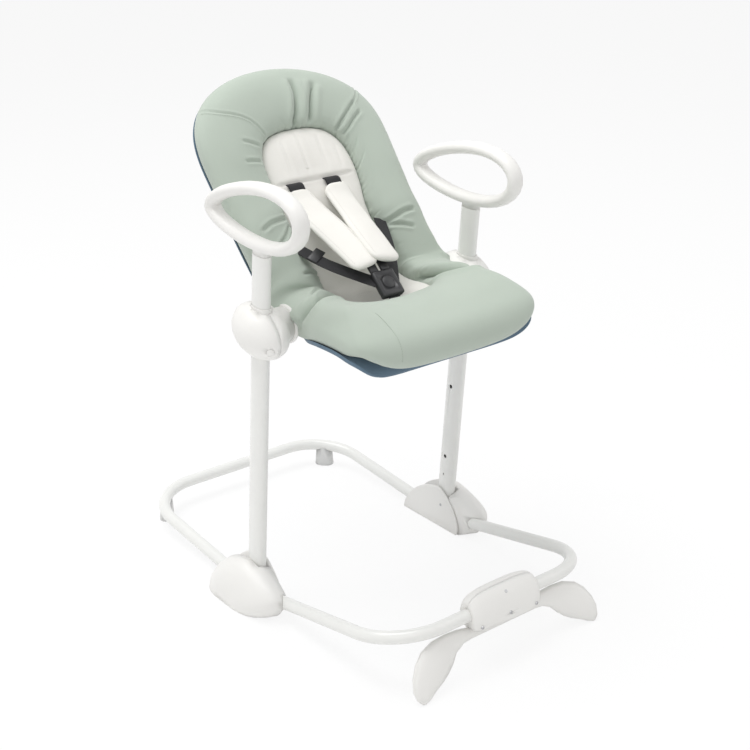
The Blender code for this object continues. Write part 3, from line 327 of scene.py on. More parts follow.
def cut_away(thing, cutters):
    """Boolean cuts, applied at once, with the cutters removed."""
    for cutter in cutters:
        step = thing.modifiers.new("cut", "BOOLEAN")
        step.operation = "DIFFERENCE"
        step.solver = "EXACT"
        step.object = cutter
    apply_modifiers(thing)
    for cutter in cutters:
        bpy.data.objects.remove(cutter, do_unlink=True)
    smooth_faces(thing.data, 35)
    return thing


def node_copy(node):
    """A CAD node's shape with its facets shaded smooth."""
    data = frame["nodes"][node].data.copy()
    data.materials.clear()
    tidy(data, 1e-5, recalc=False)
    smooth_faces(data, 38)
    return link(f"{node}_shell", data)


def finish_piece(thing, material, body, nodes=()):
    """Gives a piece its material and body, and hides the CAD nodes that it stands for."""
    thing.data.materials.clear()
    thing.data.materials.append(material)
    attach(thing, body)
    if nodes:
        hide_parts(*nodes)
    return thing


def dress(nodes, material, body):
    """Shows each CAD node by a smooth-shaded copy of its own shape."""
    for node in nodes:
        finish_piece(node_copy(node), material, body, [node])


# Geometry Nodes


def wire(tree, *pairs):
    """Links (output, input) pairs of sockets."""
    for source, target in pairs:
        tree.links.new(source, target)


def node_group(name, inputs):
    tree = bpy.data.node_groups.new(name, "GeometryNodeTree")
    tree.interface.new_socket("Geometry", in_out="INPUT", socket_type="NodeSocketGeometry")
    for label, kind, value in inputs:
        socket = tree.interface.new_socket(label, in_out="INPUT", socket_type=kind)
        if value is not None:
            socket.default_value = value
    tree.interface.new_socket("Geometry", in_out="OUTPUT", socket_type="NodeSocketGeometry")
    start = tree.nodes.new("NodeGroupInput")
    end = tree.nodes.new("NodeGroupOutput")
    return tree, start, end


def end_tree(tree, start, end, last):
    """Ends a tree in Realize Instances and Set Material."""
    real = tree.nodes.new("GeometryNodeRealizeInstances")
    paint = tree.nodes.new("GeometryNodeSetMaterial")
    wire(
        tree,
        (last, real.inputs[0]),
        (real.outputs[0], paint.inputs["Geometry"]),
        (start.outputs["Material"], paint.inputs["Material"]),
        (paint.outputs[0], end.inputs[0]),
    )


def tube_tree():
    """A round tube along each line of the mesh."""
    if "Bouncer Tube" in bpy.data.node_groups:
        return bpy.data.node_groups["Bouncer Tube"]
    tree, start, end = node_group(
        "Bouncer Tube",
        (
            ("Radius", "NodeSocketFloat", 0.012),
            ("Sides", "NodeSocketInt", 32),
            ("Material", "NodeSocketMaterial", None),
        ),
    )
    curve = tree.nodes.new("GeometryNodeMeshToCurve")
    circle = tree.nodes.new("GeometryNodeCurvePrimitiveCircle")
    sweep = tree.nodes.new("GeometryNodeCurveToMesh")
    smooth = tree.nodes.new("GeometryNodeSetShadeSmooth")
    sweep.inputs["Fill Caps"].default_value = True
    wire(
        tree,
        (start.outputs["Geometry"], curve.inputs[0]),
        (start.outputs["Sides"], circle.inputs["Resolution"]),
        (start.outputs["Radius"], circle.inputs["Radius"]),
        (curve.outputs[0], sweep.inputs["Curve"]),
        (circle.outputs["Curve"], sweep.inputs["Profile Curve"]),
        (sweep.outputs[0], smooth.inputs["Geometry"]),
    )
    end_tree(tree, start, end, smooth.outputs[0])
    return tree


def stitch_tree():
    """Short threads lying along each line of the mesh."""
    if "Bouncer Stitches" in bpy.data.node_groups:
        return bpy.data.node_groups["Bouncer Stitches"]
    tree, start, end = node_group(
        "Bouncer Stitches",
        (
            ("Spacing", "NodeSocketFloat", 0.0042),
            ("Length", "NodeSocketFloat", 0.0030),
            ("Thickness", "NodeSocketFloat", 0.0005),
            ("Material", "NodeSocketMaterial", None),
        ),
    )
    curve = tree.nodes.new("GeometryNodeMeshToCurve")
    points = tree.nodes.new("GeometryNodeCurveToPoints")
    points.mode = "LENGTH"
    thread = tree.nodes.new("GeometryNodeMeshIcoSphere")
    thread.inputs["Subdivisions"].default_value = 1
    thread.inputs["Radius"].default_value = 1.0
    size = tree.nodes.new("ShaderNodeCombineXYZ")
    half = tree.nodes.new("ShaderNodeMath")
    half.operation = "MULTIPLY"
    half.inputs[1].default_value = 0.5
    place = tree.nodes.new("GeometryNodeInstanceOnPoints")
    smooth = tree.nodes.new("GeometryNodeSetShadeSmooth")
    wire(
        tree,
        (start.outputs["Geometry"], curve.inputs[0]),
        (curve.outputs[0], points.inputs["Curve"]),
        (start.outputs["Spacing"], points.inputs["Length"]),
        (start.outputs["Length"], half.inputs[0]),
        (start.outputs["Thickness"], size.inputs[0]),
        (start.outputs["Thickness"], size.inputs[1]),
        (half.outputs[0], size.inputs[2]),
        (points.outputs["Points"], place.inputs["Points"]),
        (thread.outputs[0], smooth.inputs["Geometry"]),
        (smooth.outputs[0], place.inputs["Instance"]),
        (points.outputs["Rotation"], place.inputs["Rotation"]),
        (size.outputs[0], place.inputs["Scale"]),
    )
    end_tree(tree, start, end, place.outputs[0])
    return tree


def screw_tree():
    """A screw head on every point, facing the point's own normal."""
    if "Bouncer Screws" in bpy.data.node_groups:
        return bpy.data.node_groups["Bouncer Screws"]
    tree, start, end = node_group(
        "Bouncer Screws",
        (
            ("Head", "NodeSocketObject", None),
            ("Radius", "NodeSocketFloat", 0.0034),
            ("Material", "NodeSocketMaterial", None),
        ),
    )
    head = tree.nodes.new("GeometryNodeObjectInfo")
    facing = tree.nodes.new("GeometryNodeInputNamedAttribute")
    facing.data_type = "FLOAT_VECTOR"
    facing.inputs["Name"].default_value = "facing"
    turn = tree.nodes.new("FunctionNodeAlignRotationToVector")
    turn.axis = "Z"
    place = tree.nodes.new("GeometryNodeInstanceOnPoints")
    wire(
        tree,
        (start.outputs["Geometry"], place.inputs["Points"]),
        (start.outputs["Head"], head.inputs["Object"]),
        (head.outputs["Geometry"], place.inputs["Instance"]),
        (facing.outputs["Attribute"], turn.inputs["Vector"]),
        (turn.outputs["Rotation"], place.inputs["Rotation"]),
        (start.outputs["Radius"], place.inputs["Scale"]),
    )
    end_tree(tree, start, end, place.outputs[0])
    return tree


def line_object(name, lines, closed=False):
    """An object of loose edges along one or more lines of points."""
    points = []
    edges = []
    for line in lines:
        first = len(points)
        points.extend([tuple(p) for p in line])
        edges.extend((k, k + 1) for k in range(first, len(points) - 1))
        if closed:
            edges.append((len(points) - 1, first))
    data = bpy.data.meshes.new(name)
    data.from_pydata(points, edges, [])
    return link(name, data)


def run_tree(thing, tree, values):
    """Runs a tree on an object and keeps the plain mesh that it makes."""
    step = thing.modifiers.new(tree.name, "NODES")
    step.node_group = tree
    for item in tree.interface.items_tree:
        if item.item_type == "SOCKET" and item.in_out == "INPUT" and item.name in values:
            step[item.identifier] = values[item.name]
    return apply_modifiers(thing)


def make_tube(name, path, radius, material, body, nodes, closed=False, sides=32):
    thing = line_object(name, [path], closed)
    run_tree(thing, tube_tree(), {"Radius": radius, "Sides": sides, "Material": material})
    tidy(thing.data)
    smooth_faces(thing.data, 50)
    return finish_piece(thing, material, body, nodes)


# A stitch's length, and how far the thread lies above the cloth
STITCH_LENGTH = 0.0030
THREAD_LIFT = 0.0004


def make_stitches(name, lines, material, body):
    thing = line_object(name, lines)
    values = {
        "Spacing": sizes().stitch_gap,
        "Length": STITCH_LENGTH,
        "Thickness": sizes().stitch_width,
        "Material": material,
    }
    run_tree(thing, stitch_tree(), values)
    return finish_piece(thing, material, body, ())


def screw_head():
    """A cross-slotted screw head of radius 1."""
    mesh = bmesh.new()
    bmesh.ops.create_cone(mesh, cap_ends=True, segments=28, radius1=1.0, radius2=0.84, depth=0.5)
    head = bm_object("screw_head", mesh)
    bars = []
    for size in ((1.25, 0.28, 0.5), (0.28, 1.25, 0.5)):
        mesh = bmesh.new()
        place = Matrix.Translation((0, 0, 0.32)) @ Matrix.Diagonal((*size, 1.0))
        bmesh.ops.create_cube(mesh, size=1.0, matrix=place)
        bars.append(bm_object("slot", mesh))
    return cut_away(head, bars)


def make_screws(name, places, material, body):
    """Screw heads at (point, facing) places."""
    data = bpy.data.meshes.new(name)
    data.from_pydata([point for point, _ in places], [], [])
    facing = data.attributes.new("facing", "FLOAT_VECTOR", "POINT")
    facing.data.foreach_set("vector", np.array([way for _, way in places], float).ravel())
    head = screw_head()
    thing = link(name, data)
    run_tree(thing, screw_tree(), {"Head": head, "Radius": sizes().screw_radius, "Material": material})
    bpy.data.objects.remove(head, do_unlink=True)
    return finish_piece(thing, material, body, ())


# Materials


def shader_group(name, inputs, outputs):
    if name in bpy.data.node_groups:
        return bpy.data.node_groups[name], None, None
    tree = bpy.data.node_groups.new(name, "ShaderNodeTree")
    for label, kind, value in inputs:
        socket = tree.interface.new_socket(label, in_out="INPUT", socket_type=kind)
        if value is not None:
            socket.default_value = value
    for label, kind in outputs:
        tree.interface.new_socket(label, in_out="OUTPUT", socket_type=kind)
    return tree, tree.nodes.new("NodeGroupInput"), tree.nodes.new("NodeGroupOutput")


def math_node(tree, operation, first, second=None, third=None, clamp=False):
    step = tree.nodes.new("ShaderNodeMath")
    step.operation = operation
    step.use_clamp = clamp
    for socket, value in zip(step.inputs, (first, second, third)):
        if value is None:
            continue
        if isinstance(value, (int, float)):
            socket.default_value = value
        else:
            tree.links.new(value, socket)
    return step.outputs[0]


def weave_group():
    """Over-and-under threads from a flat map in metres."""
    tree, start, end = shader_group(
        "Plain Weave",
        (("Vector", "NodeSocketVector", None), ("Thread Width", "NodeSocketFloat", 0.0007)),
        (("Height", "NodeSocketFloat"), ("Thread", "NodeSocketFloat")),
    )
    if start is None:
        return tree
    parts = tree.nodes.new("ShaderNodeSeparateXYZ")
    wire(tree, (start.outputs["Vector"], parts.inputs[0]))
    waves = []
    for axis in (0, 1):
        turns = math_node(tree, "DIVIDE", parts.outputs[axis], start.outputs["Thread Width"])
        waves.append(math_node(tree, "SINE", math_node(tree, "MULTIPLY", turns, math.pi)))
    crossing = math_node(tree, "MULTIPLY", waves[0], waves[1])
    height = math_node(tree, "MULTIPLY_ADD", crossing, 0.5, 0.5)
    over = math_node(tree, "ABSOLUTE", crossing)
    wire(tree, (height, end.inputs["Height"]), (over, end.inputs["Thread"]))
    return tree


def noise(tree, start, scale, detail, target):
    """A noise texture over the group's vector, at a fixed or linked scale."""
    step = tree.nodes.new("ShaderNodeTexNoise")
    step.inputs["Detail"].default_value = detail
    if isinstance(scale, float):
        step.inputs["Scale"].default_value = scale
    else:
        wire(tree, (scale, step.inputs["Scale"]))
    wire(tree, (start.outputs["Vector"], step.inputs["Vector"]), (step.outputs[0], target))


def mottle_group():
    """Uneven shade in large and small patches, from 0 to 1."""
    tree, start, end = shader_group(
        "Uneven Shade",
        (("Vector", "NodeSocketVector", None), ("Patch Scale", "NodeSocketFloat", 8.0)),
        (("Patch", "NodeSocketFloat"), ("Fine", "NodeSocketFloat")),
    )
    if start is None:
        return tree
    fine_scale = math_node(tree, "MULTIPLY", start.outputs["Patch Scale"], 14.0)
    noise(tree, start, start.outputs["Patch Scale"], 3.0, end.inputs["Patch"])
    noise(tree, start, fine_scale, 2.0, end.inputs["Fine"])
    return tree


def grain_group():
    """Fine spark-eroded grain of moulded plastic, with faint handling marks."""
    tree, start, end = shader_group(
        "Moulded Grain",
        (("Vector", "NodeSocketVector", None), ("Grain Scale", "NodeSocketFloat", 900.0)),
        (("Height", "NodeSocketFloat"), ("Handling", "NodeSocketFloat")),
    )
    if start is None:
        return tree
    noise(tree, start, start.outputs["Grain Scale"], 2.0, end.inputs["Height"])
    noise(tree, start, 22.0, 4.0, end.inputs["Handling"])
    return tree


def base_material(name, shader_values):
    material = bpy.data.materials.new(name)
    material.use_nodes = True
    tree = material.node_tree
    shader = tree.nodes["Principled BSDF"]
    for label, value in shader_values.items():
        shader.inputs[label].default_value = value
    return material, tree, shader, tree.nodes.new("ShaderNodeTexCoord")


def group_node(tree, group, vector, **values):
    step = tree.nodes.new("ShaderNodeGroup")
    step.node_tree = group
    wire(tree, (vector, step.inputs["Vector"]))
    for label, value in values.items():
        step.inputs[label.replace("_", " ")].default_value = value
    return step


def shade_between(tree, factor, colour, tones):
    """A colour between two tones of one, by a factor."""
    mix = tree.nodes.new("ShaderNodeMix")
    mix.data_type = "RGBA"
    mix.inputs[6].default_value = (*scaled(colour, tones[0]), 1.0)
    mix.inputs[7].default_value = (*scaled(colour, tones[1]), 1.0)
    wire(tree, (factor, mix.inputs[0]))
    return mix.outputs[2]


def scaled(colour, share):
    return tuple(min(1.0, c * share) for c in colour)


def value_range(tree, factor, low, high):
    span = tree.nodes.new("ShaderNodeMapRange")
    span.inputs["To Min"].default_value = low
    span.inputs["To Max"].default_value = high
    wire(tree, (factor, span.inputs["Value"]))
    return span.outputs[0]


def add_bump(tree, shader, heights):
    """Bump nodes in a row, each from (height, distance, strength)."""
    last = None
    for height, distance, strength in heights:
        bump = tree.nodes.new("ShaderNodeBump")
        bump.inputs["Distance"].default_value = distance
        bump.inputs["Strength"].default_value = strength
        wire(tree, (height, bump.inputs["Height"]))
        if last is not None:
            wire(tree, (last, bump.inputs["Normal"]))
        last = bump.outputs[0]
    wire(tree, (last, shader.inputs["Normal"]))


def cloth(name, colour, thread=0.0007, sheen=0.25, rough=0.86, depth=0.00012, patch=9.0):
    """Woven cloth: threads from the piece's flat map, uneven dye and soft nap."""
    if name in bpy.data.materials:
        return bpy.data.materials[name]
    values = {"Sheen Weight": sheen, "Sheen Roughness": 0.45, "Specular IOR Level": 0.30}
    material, tree, shader, place = base_material(name, values)
    weave = group_node(tree, weave_group(), place.outputs["UV"], Thread_Width=thread)
    mottle = group_node(tree, mottle_group(), place.outputs["Object"], Patch_Scale=patch)
    tone = math_node(tree, "MULTIPLY_ADD", weave.outputs["Thread"], 0.35, mottle.outputs["Patch"])
    shade = shade_between(tree, tone, colour, (0.93, 1.05))
    roughness = value_range(tree, mottle.outputs["Fine"], rough - 0.06, rough + 0.06)
    wire(tree, (shade, shader.inputs["Base Color"]), (roughness, shader.inputs["Roughness"]))
    add_bump(tree, shader, ((mottle.outputs["Fine"], 0.0006, 0.25), (weave.outputs["Height"], depth, 0.8)))
    return material


def moulded(name, colour, rough=0.42, coat=0.0, grain=900.0, depth=0.00004):
    """Moulded plastic with a fine grain and faint handling marks."""
    if name in bpy.data.materials:
        return bpy.data.materials[name]
    values = {"Coat Weight": coat, "Coat Roughness": 0.2}
    material, tree, shader, place = base_material(name, values)
    grain_step = group_node(tree, grain_group(), place.outputs["Object"], Grain_Scale=grain)
    mottle = group_node(tree, mottle_group(), place.outputs["Object"], Patch_Scale=6.0)
    shade = shade_between(tree, mottle.outputs["Patch"], colour, (0.965, 1.02))
    roughness = value_range(tree, grain_step.outputs["Handling"], rough - 0.07, rough + 0.09)
    wire(tree, (shade, shader.inputs["Base Color"]), (roughness, shader.inputs["Roughness"]))
    add_bump(tree, shader, ((grain_step.outputs["Height"], depth, 0.5),))
    return material


def smooth_metal(name, colour, patch, tones, roughness, ripple, values):
    """Painted or plated metal, with an uneven shade and a slight ripple of (depth, strength)."""
    if name in bpy.data.materials:
        return bpy.data.materials[name]
    material, tree, shader, place = base_material(name, values)
    mottle = group_node(tree, mottle_group(), place.outputs["Object"], Patch_Scale=patch)
    shade = shade_between(tree, mottle.outputs["Patch"], colour, tones)
    rough = value_range(tree, mottle.outputs["Fine"], *roughness)
    wire(tree, (shade, shader.inputs["Base Color"]), (rough, shader.inputs["Roughness"]))
    add_bump(tree, shader, ((mottle.outputs["Fine"], *ripple),))
    return material


def cover_cloth():
    return cloth("Sage Cotton", colours().cover[:], 0.0008, 0.30, 0.84)


def cream_cloth():
    return cloth("Cream Jersey", colours().cream[:], 0.0009, 0.20, 0.90, 0.00015, 12.0)


def sling_cloth():
    return cloth("Slate Canvas", colours().sling[:], 0.0012, 0.15, 0.85, 0.0002)


def strap_cloth():
    return cloth("Black Webbing", colours().webbing[:], 0.0014, 0.10, 0.72, 0.0003, 30.0)


def white_shell():
    return moulded("White Moulding", colours().shell[:], 0.40)


def white_enamel():
    values = {"Coat Weight": 0.35, "Coat Roughness": 0.12}
    return smooth_metal(
        "White Enamel", colours().enamel[:], 30.0, (0.97, 1.02), (0.24, 0.36), (0.0001, 0.25), values
    )


def black_plastic():
    return moulded("Black Acetal", colours().buckle[:], 0.38, 0.1, 1200.0)


def bracket_plastic():
    return moulded("Dark Bracket Nylon", colours().bracket[:], 0.5)


def pale_rubber():
    return moulded("Pale Rubber", colours().rubber[:], 0.72, 0.0, 500.0, 0.0001)


def steel():
    steel_colour = (0.56, 0.56, 0.57)
    return smooth_metal(
        "Plated Steel", steel_colour, 120.0, (0.9, 1.08), (0.24, 0.44), (0.00003, 0.3), {"Metallic": 1.0}
    )


def thread():
    return cloth("Sewing Thread", scaled(colours().cover[:], 0.86), 0.0003, 0.1, 0.8)


def cream_thread():
    return cloth("Cream Thread", scaled(colours().cream[:], 0.88), 0.0003, 0.1, 0.8)


# The seat's curved form

# Reach and power of the curve that rounds the outline's corners
TOP_CORNER = (0.190, 2.7)
FRONT_CORNER = (0.060, 2.6)


class SeatForm:
    """x across, t along the middle line from the front edge, and a height in front of the sling."""

    def __init__(self):
        dense = smooth_rows(SEAT_LINE, 40)
        dense[:, 0] += POST_FOOT_Y
        self.along = arc_lengths(dense[:, :2])
        self.rows = dense
        self.length = self.along[-1]

    def line(self, t):
        t = np.clip(t, 0, self.length)
        return np.stack([np.interp(t, self.along, self.rows[:, k]) for k in range(4)], axis=-1)

    def half_width(self, t):
        width = self.line(t)[..., 2]
        for distance, (reach, power) in ((self.length - t, TOP_CORNER), (t, FRONT_CORNER)):
            near = np.clip(distance / reach, 0, 1)
            width = width * np.sqrt(np.maximum(0, 1 - (1 - near) ** power))
        return width

    def normal(self, t):
        span = 0.012
        ahead = self.line(t + span)[..., :2] - self.line(t - span)[..., :2]
        ahead = unit(ahead)
        return np.stack([np.zeros(ahead.shape[:-1]), -ahead[..., 1], ahead[..., 0]], axis=-1)

    def place(self, x, t, off):
        x, t, off = np.broadcast_arrays(np.asarray(x, float), np.asarray(t, float), np.asarray(off, float))
        row = self.line(t)
        lift = row[..., 3] * np.minimum(1.3, np.abs(x / row[..., 2]) ** 2.2)
        raised = FRONT_RAISED * fade_out(t, 0.0, 0.075)
        point = np.stack([x, row[..., 0] + 0.4 * raised, row[..., 1] + raised], axis=-1)
        return point + self.normal(t) * (lift + off)[..., None]

    def ring(self, middle, outline, share, off):
        """Points `share` of the way from a place on the middle line out to an outline."""
        middle = np.array([0.0, middle])
        place = middle + (outline - middle) * share
        return self.place(place[:, 0], place[:, 1], off)

    def outer(self, count):
        """The rim's outer edge as (x, t), from the middle of the front round by +x."""
        t = self.length * (0.5 - 0.5 * np.cos(np.linspace(0, np.pi, 1500)))
        right = np.stack([self.half_width(t), t], axis=1)
        left = right[::-1][1:-1] * (-1, 1)
        return even_points(np.vstack([right, left]), count, closed=True)

    def inner(self, count, grow=0.0):
        """The seam round the pale pad as (x, t), from the middle of the front round by +x."""
        line = smooth_rows((*PAD_SEAM, PAD_SEAM[0]), 40)[:-1]
        ahead = unit(np.roll(line, -1, axis=0) - np.roll(line, 1, axis=0))
        line = line + np.stack([ahead[:, 1], -ahead[:, 0]], axis=1) * grow
        return even_points(line, count, closed=True)


seat = SeatForm()


def outward_normals(points, guess):
    """Normals of rings of points, on the side that `guess` points to."""
    across = np.roll(points, -1, axis=1) - np.roll(points, 1, axis=1)
    normals = unit(np.cross(across, np.gradient(points, axis=0)))
    return -normals if np.sum(normals * guess) < 0 else normals


def distance_to_line(points, line):
    """Distance from every point to a line of points, and the share of the line's length at the nearest."""
    flat = points.reshape(-1, 3)
    best = np.full(len(flat), 1e9)
    where = np.zeros(len(flat))
    along = arc_lengths(line)
    for k in range(len(line) - 1):
        a, b = line[k], line[k + 1]
        span = b - a
        share = np.clip(((flat - a) @ span) / max(span @ span, 1e-12), 0, 1)
        gap = np.linalg.norm(flat - a - share[:, None] * span, axis=1)
        nearer = gap < best
        best = np.where(nearer, gap, best)
        where = np.where(nearer, (along[k] + share * (along[k + 1] - along[k])) / along[-1], where)
    return best.reshape(points.shape[:-1]), where.reshape(points.shape[:-1])


def crease(points, line, depth, width, ends=(0.15, 0.15), lips=0.3):
    """A groove along a line, with a soft lip each side, fading at its ends."""
    gap, where = distance_to_line(points, line)
    fade = np.ones_like(gap)
    if ends[0]:
        fade *= np.clip(where / ends[0], 0, 1)
    if ends[1]:
        fade *= np.clip((1 - where) / ends[1], 0, 1)
    fade = fade * fade * (3 - 2 * fade)
    groove = np.exp(-((gap / width) ** 2))
    lip = np.exp(-(((gap - 2.0 * width) / (1.1 * width)) ** 2))
    return fade * depth * (lips * lip - groove)


def soft_noise(points, scale, seed):
    """Smooth noise between about -1 and 1, the same in each run."""
    chance = np.random.default_rng(seed)
    total = np.zeros(points.shape[:-1])
    for _ in range(7):
        way = chance.normal(size=3)
        way *= scale * chance.uniform(0.6, 1.5) / np.linalg.norm(way)
        total += np.sin(points @ way * 2 * np.pi + chance.uniform(0, 2 * np.pi))
    return total / 4.0


# The padded rim: its grid, then the shape at the hips, the back, the front and the side edges
RIM_COLUMNS = 840
RIM_ROWS = 60
RIM_ARCH = 0.72
HIP_STARTS = (0.235, 0.300)
HIP_ENDS = (0.450, 0.540)
HIP_LEAN = 0.45
HIP_HALF_WIDTH = 0.207
BACK_CROWN = 0.87
BACK_STARTS = (0.48, 0.62)
FRONT_TUCK = 0.006
BULGE_STARTS = (0.15, 0.22)
BULGE_ENDS = (0.38, 0.46)
BULGE_SHARE = 1.25
BULGE_AT_EDGE = 0.28


def blur_round(values, spread):
    """Blurs values along the round by a bell curve, `spread` in columns."""
    turns = np.fft.rfftfreq(values.shape[0])[:, None]
    keep = np.exp(-2 * (np.pi * turns * spread) ** 2)
    return np.fft.irfft(np.fft.rfft(values, axis=0) * keep, values.shape[0], axis=0)


def hip_share(t):
    """1 beside the hips and 0 away from them, by place along the seat."""
    return smooth_step(t, *HIP_STARTS) * fade_out(t, *HIP_ENDS)


def skirt_drop(t):
    """How far the cover's side edges hang below the sling's line, by place along the seat."""
    return SKIRT_DROP * smooth_step(t, 0.02, 0.08) * fade_out(t, 0.27, 0.40)


def cover_outline(columns):
    """The cover's outer edge as (x, t): the sling's edge, drawn in a little along the front."""
    outer = seat.outer(columns)
    middle = np.array([0.0, 0.44])
    drawn = FRONT_TUCK * fade_out(outer[:, 1], 0.10, 0.24)
    return middle + (outer - middle) * (1 - drawn)[:, None]


def rim_surface(columns=RIM_COLUMNS, rows=RIM_ROWS):
    """Points of the padded rim's face, rings from the seam out to the edge, and each ring's share across."""
    inner = seat.inner(columns)
    outer = cover_outline(columns)
    t = outer[:, 1]
    turn = np.linspace(0, np.pi, rows)[:, None]
    share = (1 - np.cos(turn)) / 2
    arch = np.sin(turn) ** RIM_ARCH
    crown = (sizes().crown - FACE_AT_SEAM * 0.5) * (1 + (BACK_CROWN - 1) * smooth_step(t, *BACK_STARTS))
    flat = inner[None] + (outer - inner)[None] * share[..., None]
    bent = seat.place(flat[..., 0], flat[..., 1], FACE_AT_SEAM * (1 - share) + crown * arch)
    # beside the hips the face stands on the straight line from seam to edge, so it can't fold into itself
    wide = columns / 720
    hip = hip_share(t)[:, None]
    low = seat.place(inner[:, 0], inner[:, 1], FACE_AT_SEAM)
    high = seat.place(outer[:, 0], t, 0.0)
    high = high + (blur_round(high, 10 * wide) - high) * hip
    ahead = np.roll(low + high, -1, axis=0) - np.roll(low + high, 1, axis=0)
    face = unit(blur_round(unit(np.cross(high - low, ahead)), 16 * wide))
    face[:, 0] += np.sign(high[:, 0]) * HIP_LEAN * hip[:, 0]
    face = unit(face)
    span = low[None] + (high - low)[None] * share[..., None]
    straight = span + face[None] * (crown * arch)[..., None]
    points = bent + (straight - bent) * hip[None]
    side = smooth_step(t, *BULGE_STARTS) * fade_out(t, *BULGE_ENDS) * np.sign(outer[:, 0])
    bulge = BULGE_SHARE * np.maximum(0, HIP_HALF_WIDTH - np.abs(outer[:, 0])) * side
    points[..., 0] += bulge * (np.sin(np.pi * share**2.2) + BULGE_AT_EDGE * smooth_step(share, 0.8, 1.0))
    points[..., 2] -= skirt_drop(t) * smooth_step(share, 0.5, 1.0)
    return points, share


# Columns and rows of the coarser rim that lines are read from
LINE_GRID = (240, 40)


def rim_line(places):
    """A smooth line on the rim's undisturbed face through (share round from the front, share across)."""
    columns, rows = LINE_GRID
    grid, shares = rim_surface(columns, rows)
    places = smooth_rows(places, 8)
    column = (places[:, 0] * columns) % columns
    row = np.interp(places[:, 1], shares[:, 0], np.arange(rows))
    first = np.floor(column).astype(int) % columns
    after = (first + 1) % columns
    low = np.minimum(np.floor(row).astype(int), rows - 2)
    along = (column - np.floor(column))[:, None]
    across = (row - low)[:, None]
    top = grid[low, first] * (1 - along) + grid[low, after] * along
    under = grid[low + 1, first] * (1 - along) + grid[low + 1, after] * along
    return top * (1 - across) + under * across


# Folds, seams and creases of the cover, as (round, across) places. A crease also has its depth and width,
# and may have the shares over which its ends fade and the height of its lips.
HIP_CREASES = ((0.0110, 0.0085, (0.10, 0.25), 0.35), (0.0055, 0.0030, (0.05, 0.10), 0.2))
SEAM_CREASE = (0.0018, 0.0020, (0, 0), 0.5)
HIP_FOLDS = (
    ((0.912, 0.00), (0.897, 0.07), (0.878, 0.18), (0.863, 0.43), (0.851, 0.67), (0.839, 0.89), (0.829, 1.0)),
    ((0.145, 0.00), (0.128, 0.03), (0.117, 0.12), (0.115, 0.26), (0.118, 0.45), (0.132, 0.72), (0.155, 0.92)),
)
SHOULDER_SEAMS = (
    ((0.580, 0.08), (0.576, 0.34), (0.578, 0.52), (0.585, 0.78), (0.588, 1.0)),
    ((0.451, 0.03), (0.433, 0.34), (0.424, 0.52), (0.415, 0.78), (0.412, 1.0)),
)
SEWN_SEAMS = (
    ((0.934, 0.62), (0.936, 0.75), (0.938, 0.87), (0.939, 0.96)),
    ((0.583, 0.10), (0.579, 0.34), (0.581, 0.52), (0.588, 0.78), (0.591, 0.97)),
    ((0.448, 0.05), (0.430, 0.34), (0.421, 0.52), (0.412, 0.78), (0.409, 0.97)),
)
COVER_CREASES = (
    (((0.488, 0.78), (0.496, 0.45), (0.508, 0.22), (0.519, 0.07), (0.522, -0.02)), 0.0080, 0.0065),
    (((0.488, 0.70), (0.496, 0.45), (0.508, 0.22), (0.519, 0.07), (0.522, -0.02)), 0.0055, 0.0022),
    (((0.463, 0.75), (0.475, 0.47), (0.487, 0.19), (0.496, 0.01)), 0.0070, 0.0065),
    (((0.464, 0.68), (0.475, 0.47), (0.487, 0.19), (0.494, 0.05)), 0.0050, 0.0022),
    (((0.415, 0.74), (0.433, 0.34), (0.451, 0.02)), 0.0034, 0.0034),
    (((0.407, 0.66), (0.425, 0.25), (0.438, 0.03)), 0.0048, 0.0032),
    (((0.634, 0.43), (0.626, 0.08)), 0.0030, 0.0030),
    (((0.608, 0.41), (0.602, 0.08)), 0.0028, 0.0030),
    (((0.285, 0.03), (0.287, 0.22), (0.289, 0.44), (0.287, 0.72)), 0.0052, 0.0040),
    (((0.281, 0.05), (0.276, 0.24), (0.268, 0.50)), 0.0046, 0.0034),
    (((0.715, 0.03), (0.713, 0.22), (0.711, 0.44), (0.713, 0.66)), 0.0040, 0.0036),
    (((0.725, 0.05), (0.734, 0.24), (0.740, 0.50)), 0.0036, 0.0034),
    (((0.796, 0.30), (0.802, 0.14), (0.812, 0.02)), 0.0046, 0.0030),
    (((0.846, 0.55), (0.842, 0.38), (0.844, 0.22)), 0.0040, 0.0036),
)


# The cover's surface, its hollow under the pale pad, its turned edge and its back
COVER_UNEVEN = 0.0014
HOLLOW_DROP = 0.004
TURNED_EDGE = ((0.996, -0.005), (0.985, -0.009), (0.97, -0.0112))
COVER_BACK = -0.012

# Least and most of each pucker's reach and width, and its slant to either side
PUCKER_REACH = (0.015, 0.060)
PUCKER_WIDTH = (0.0020, 0.0040)
PUCKER_SLANT = 0.25


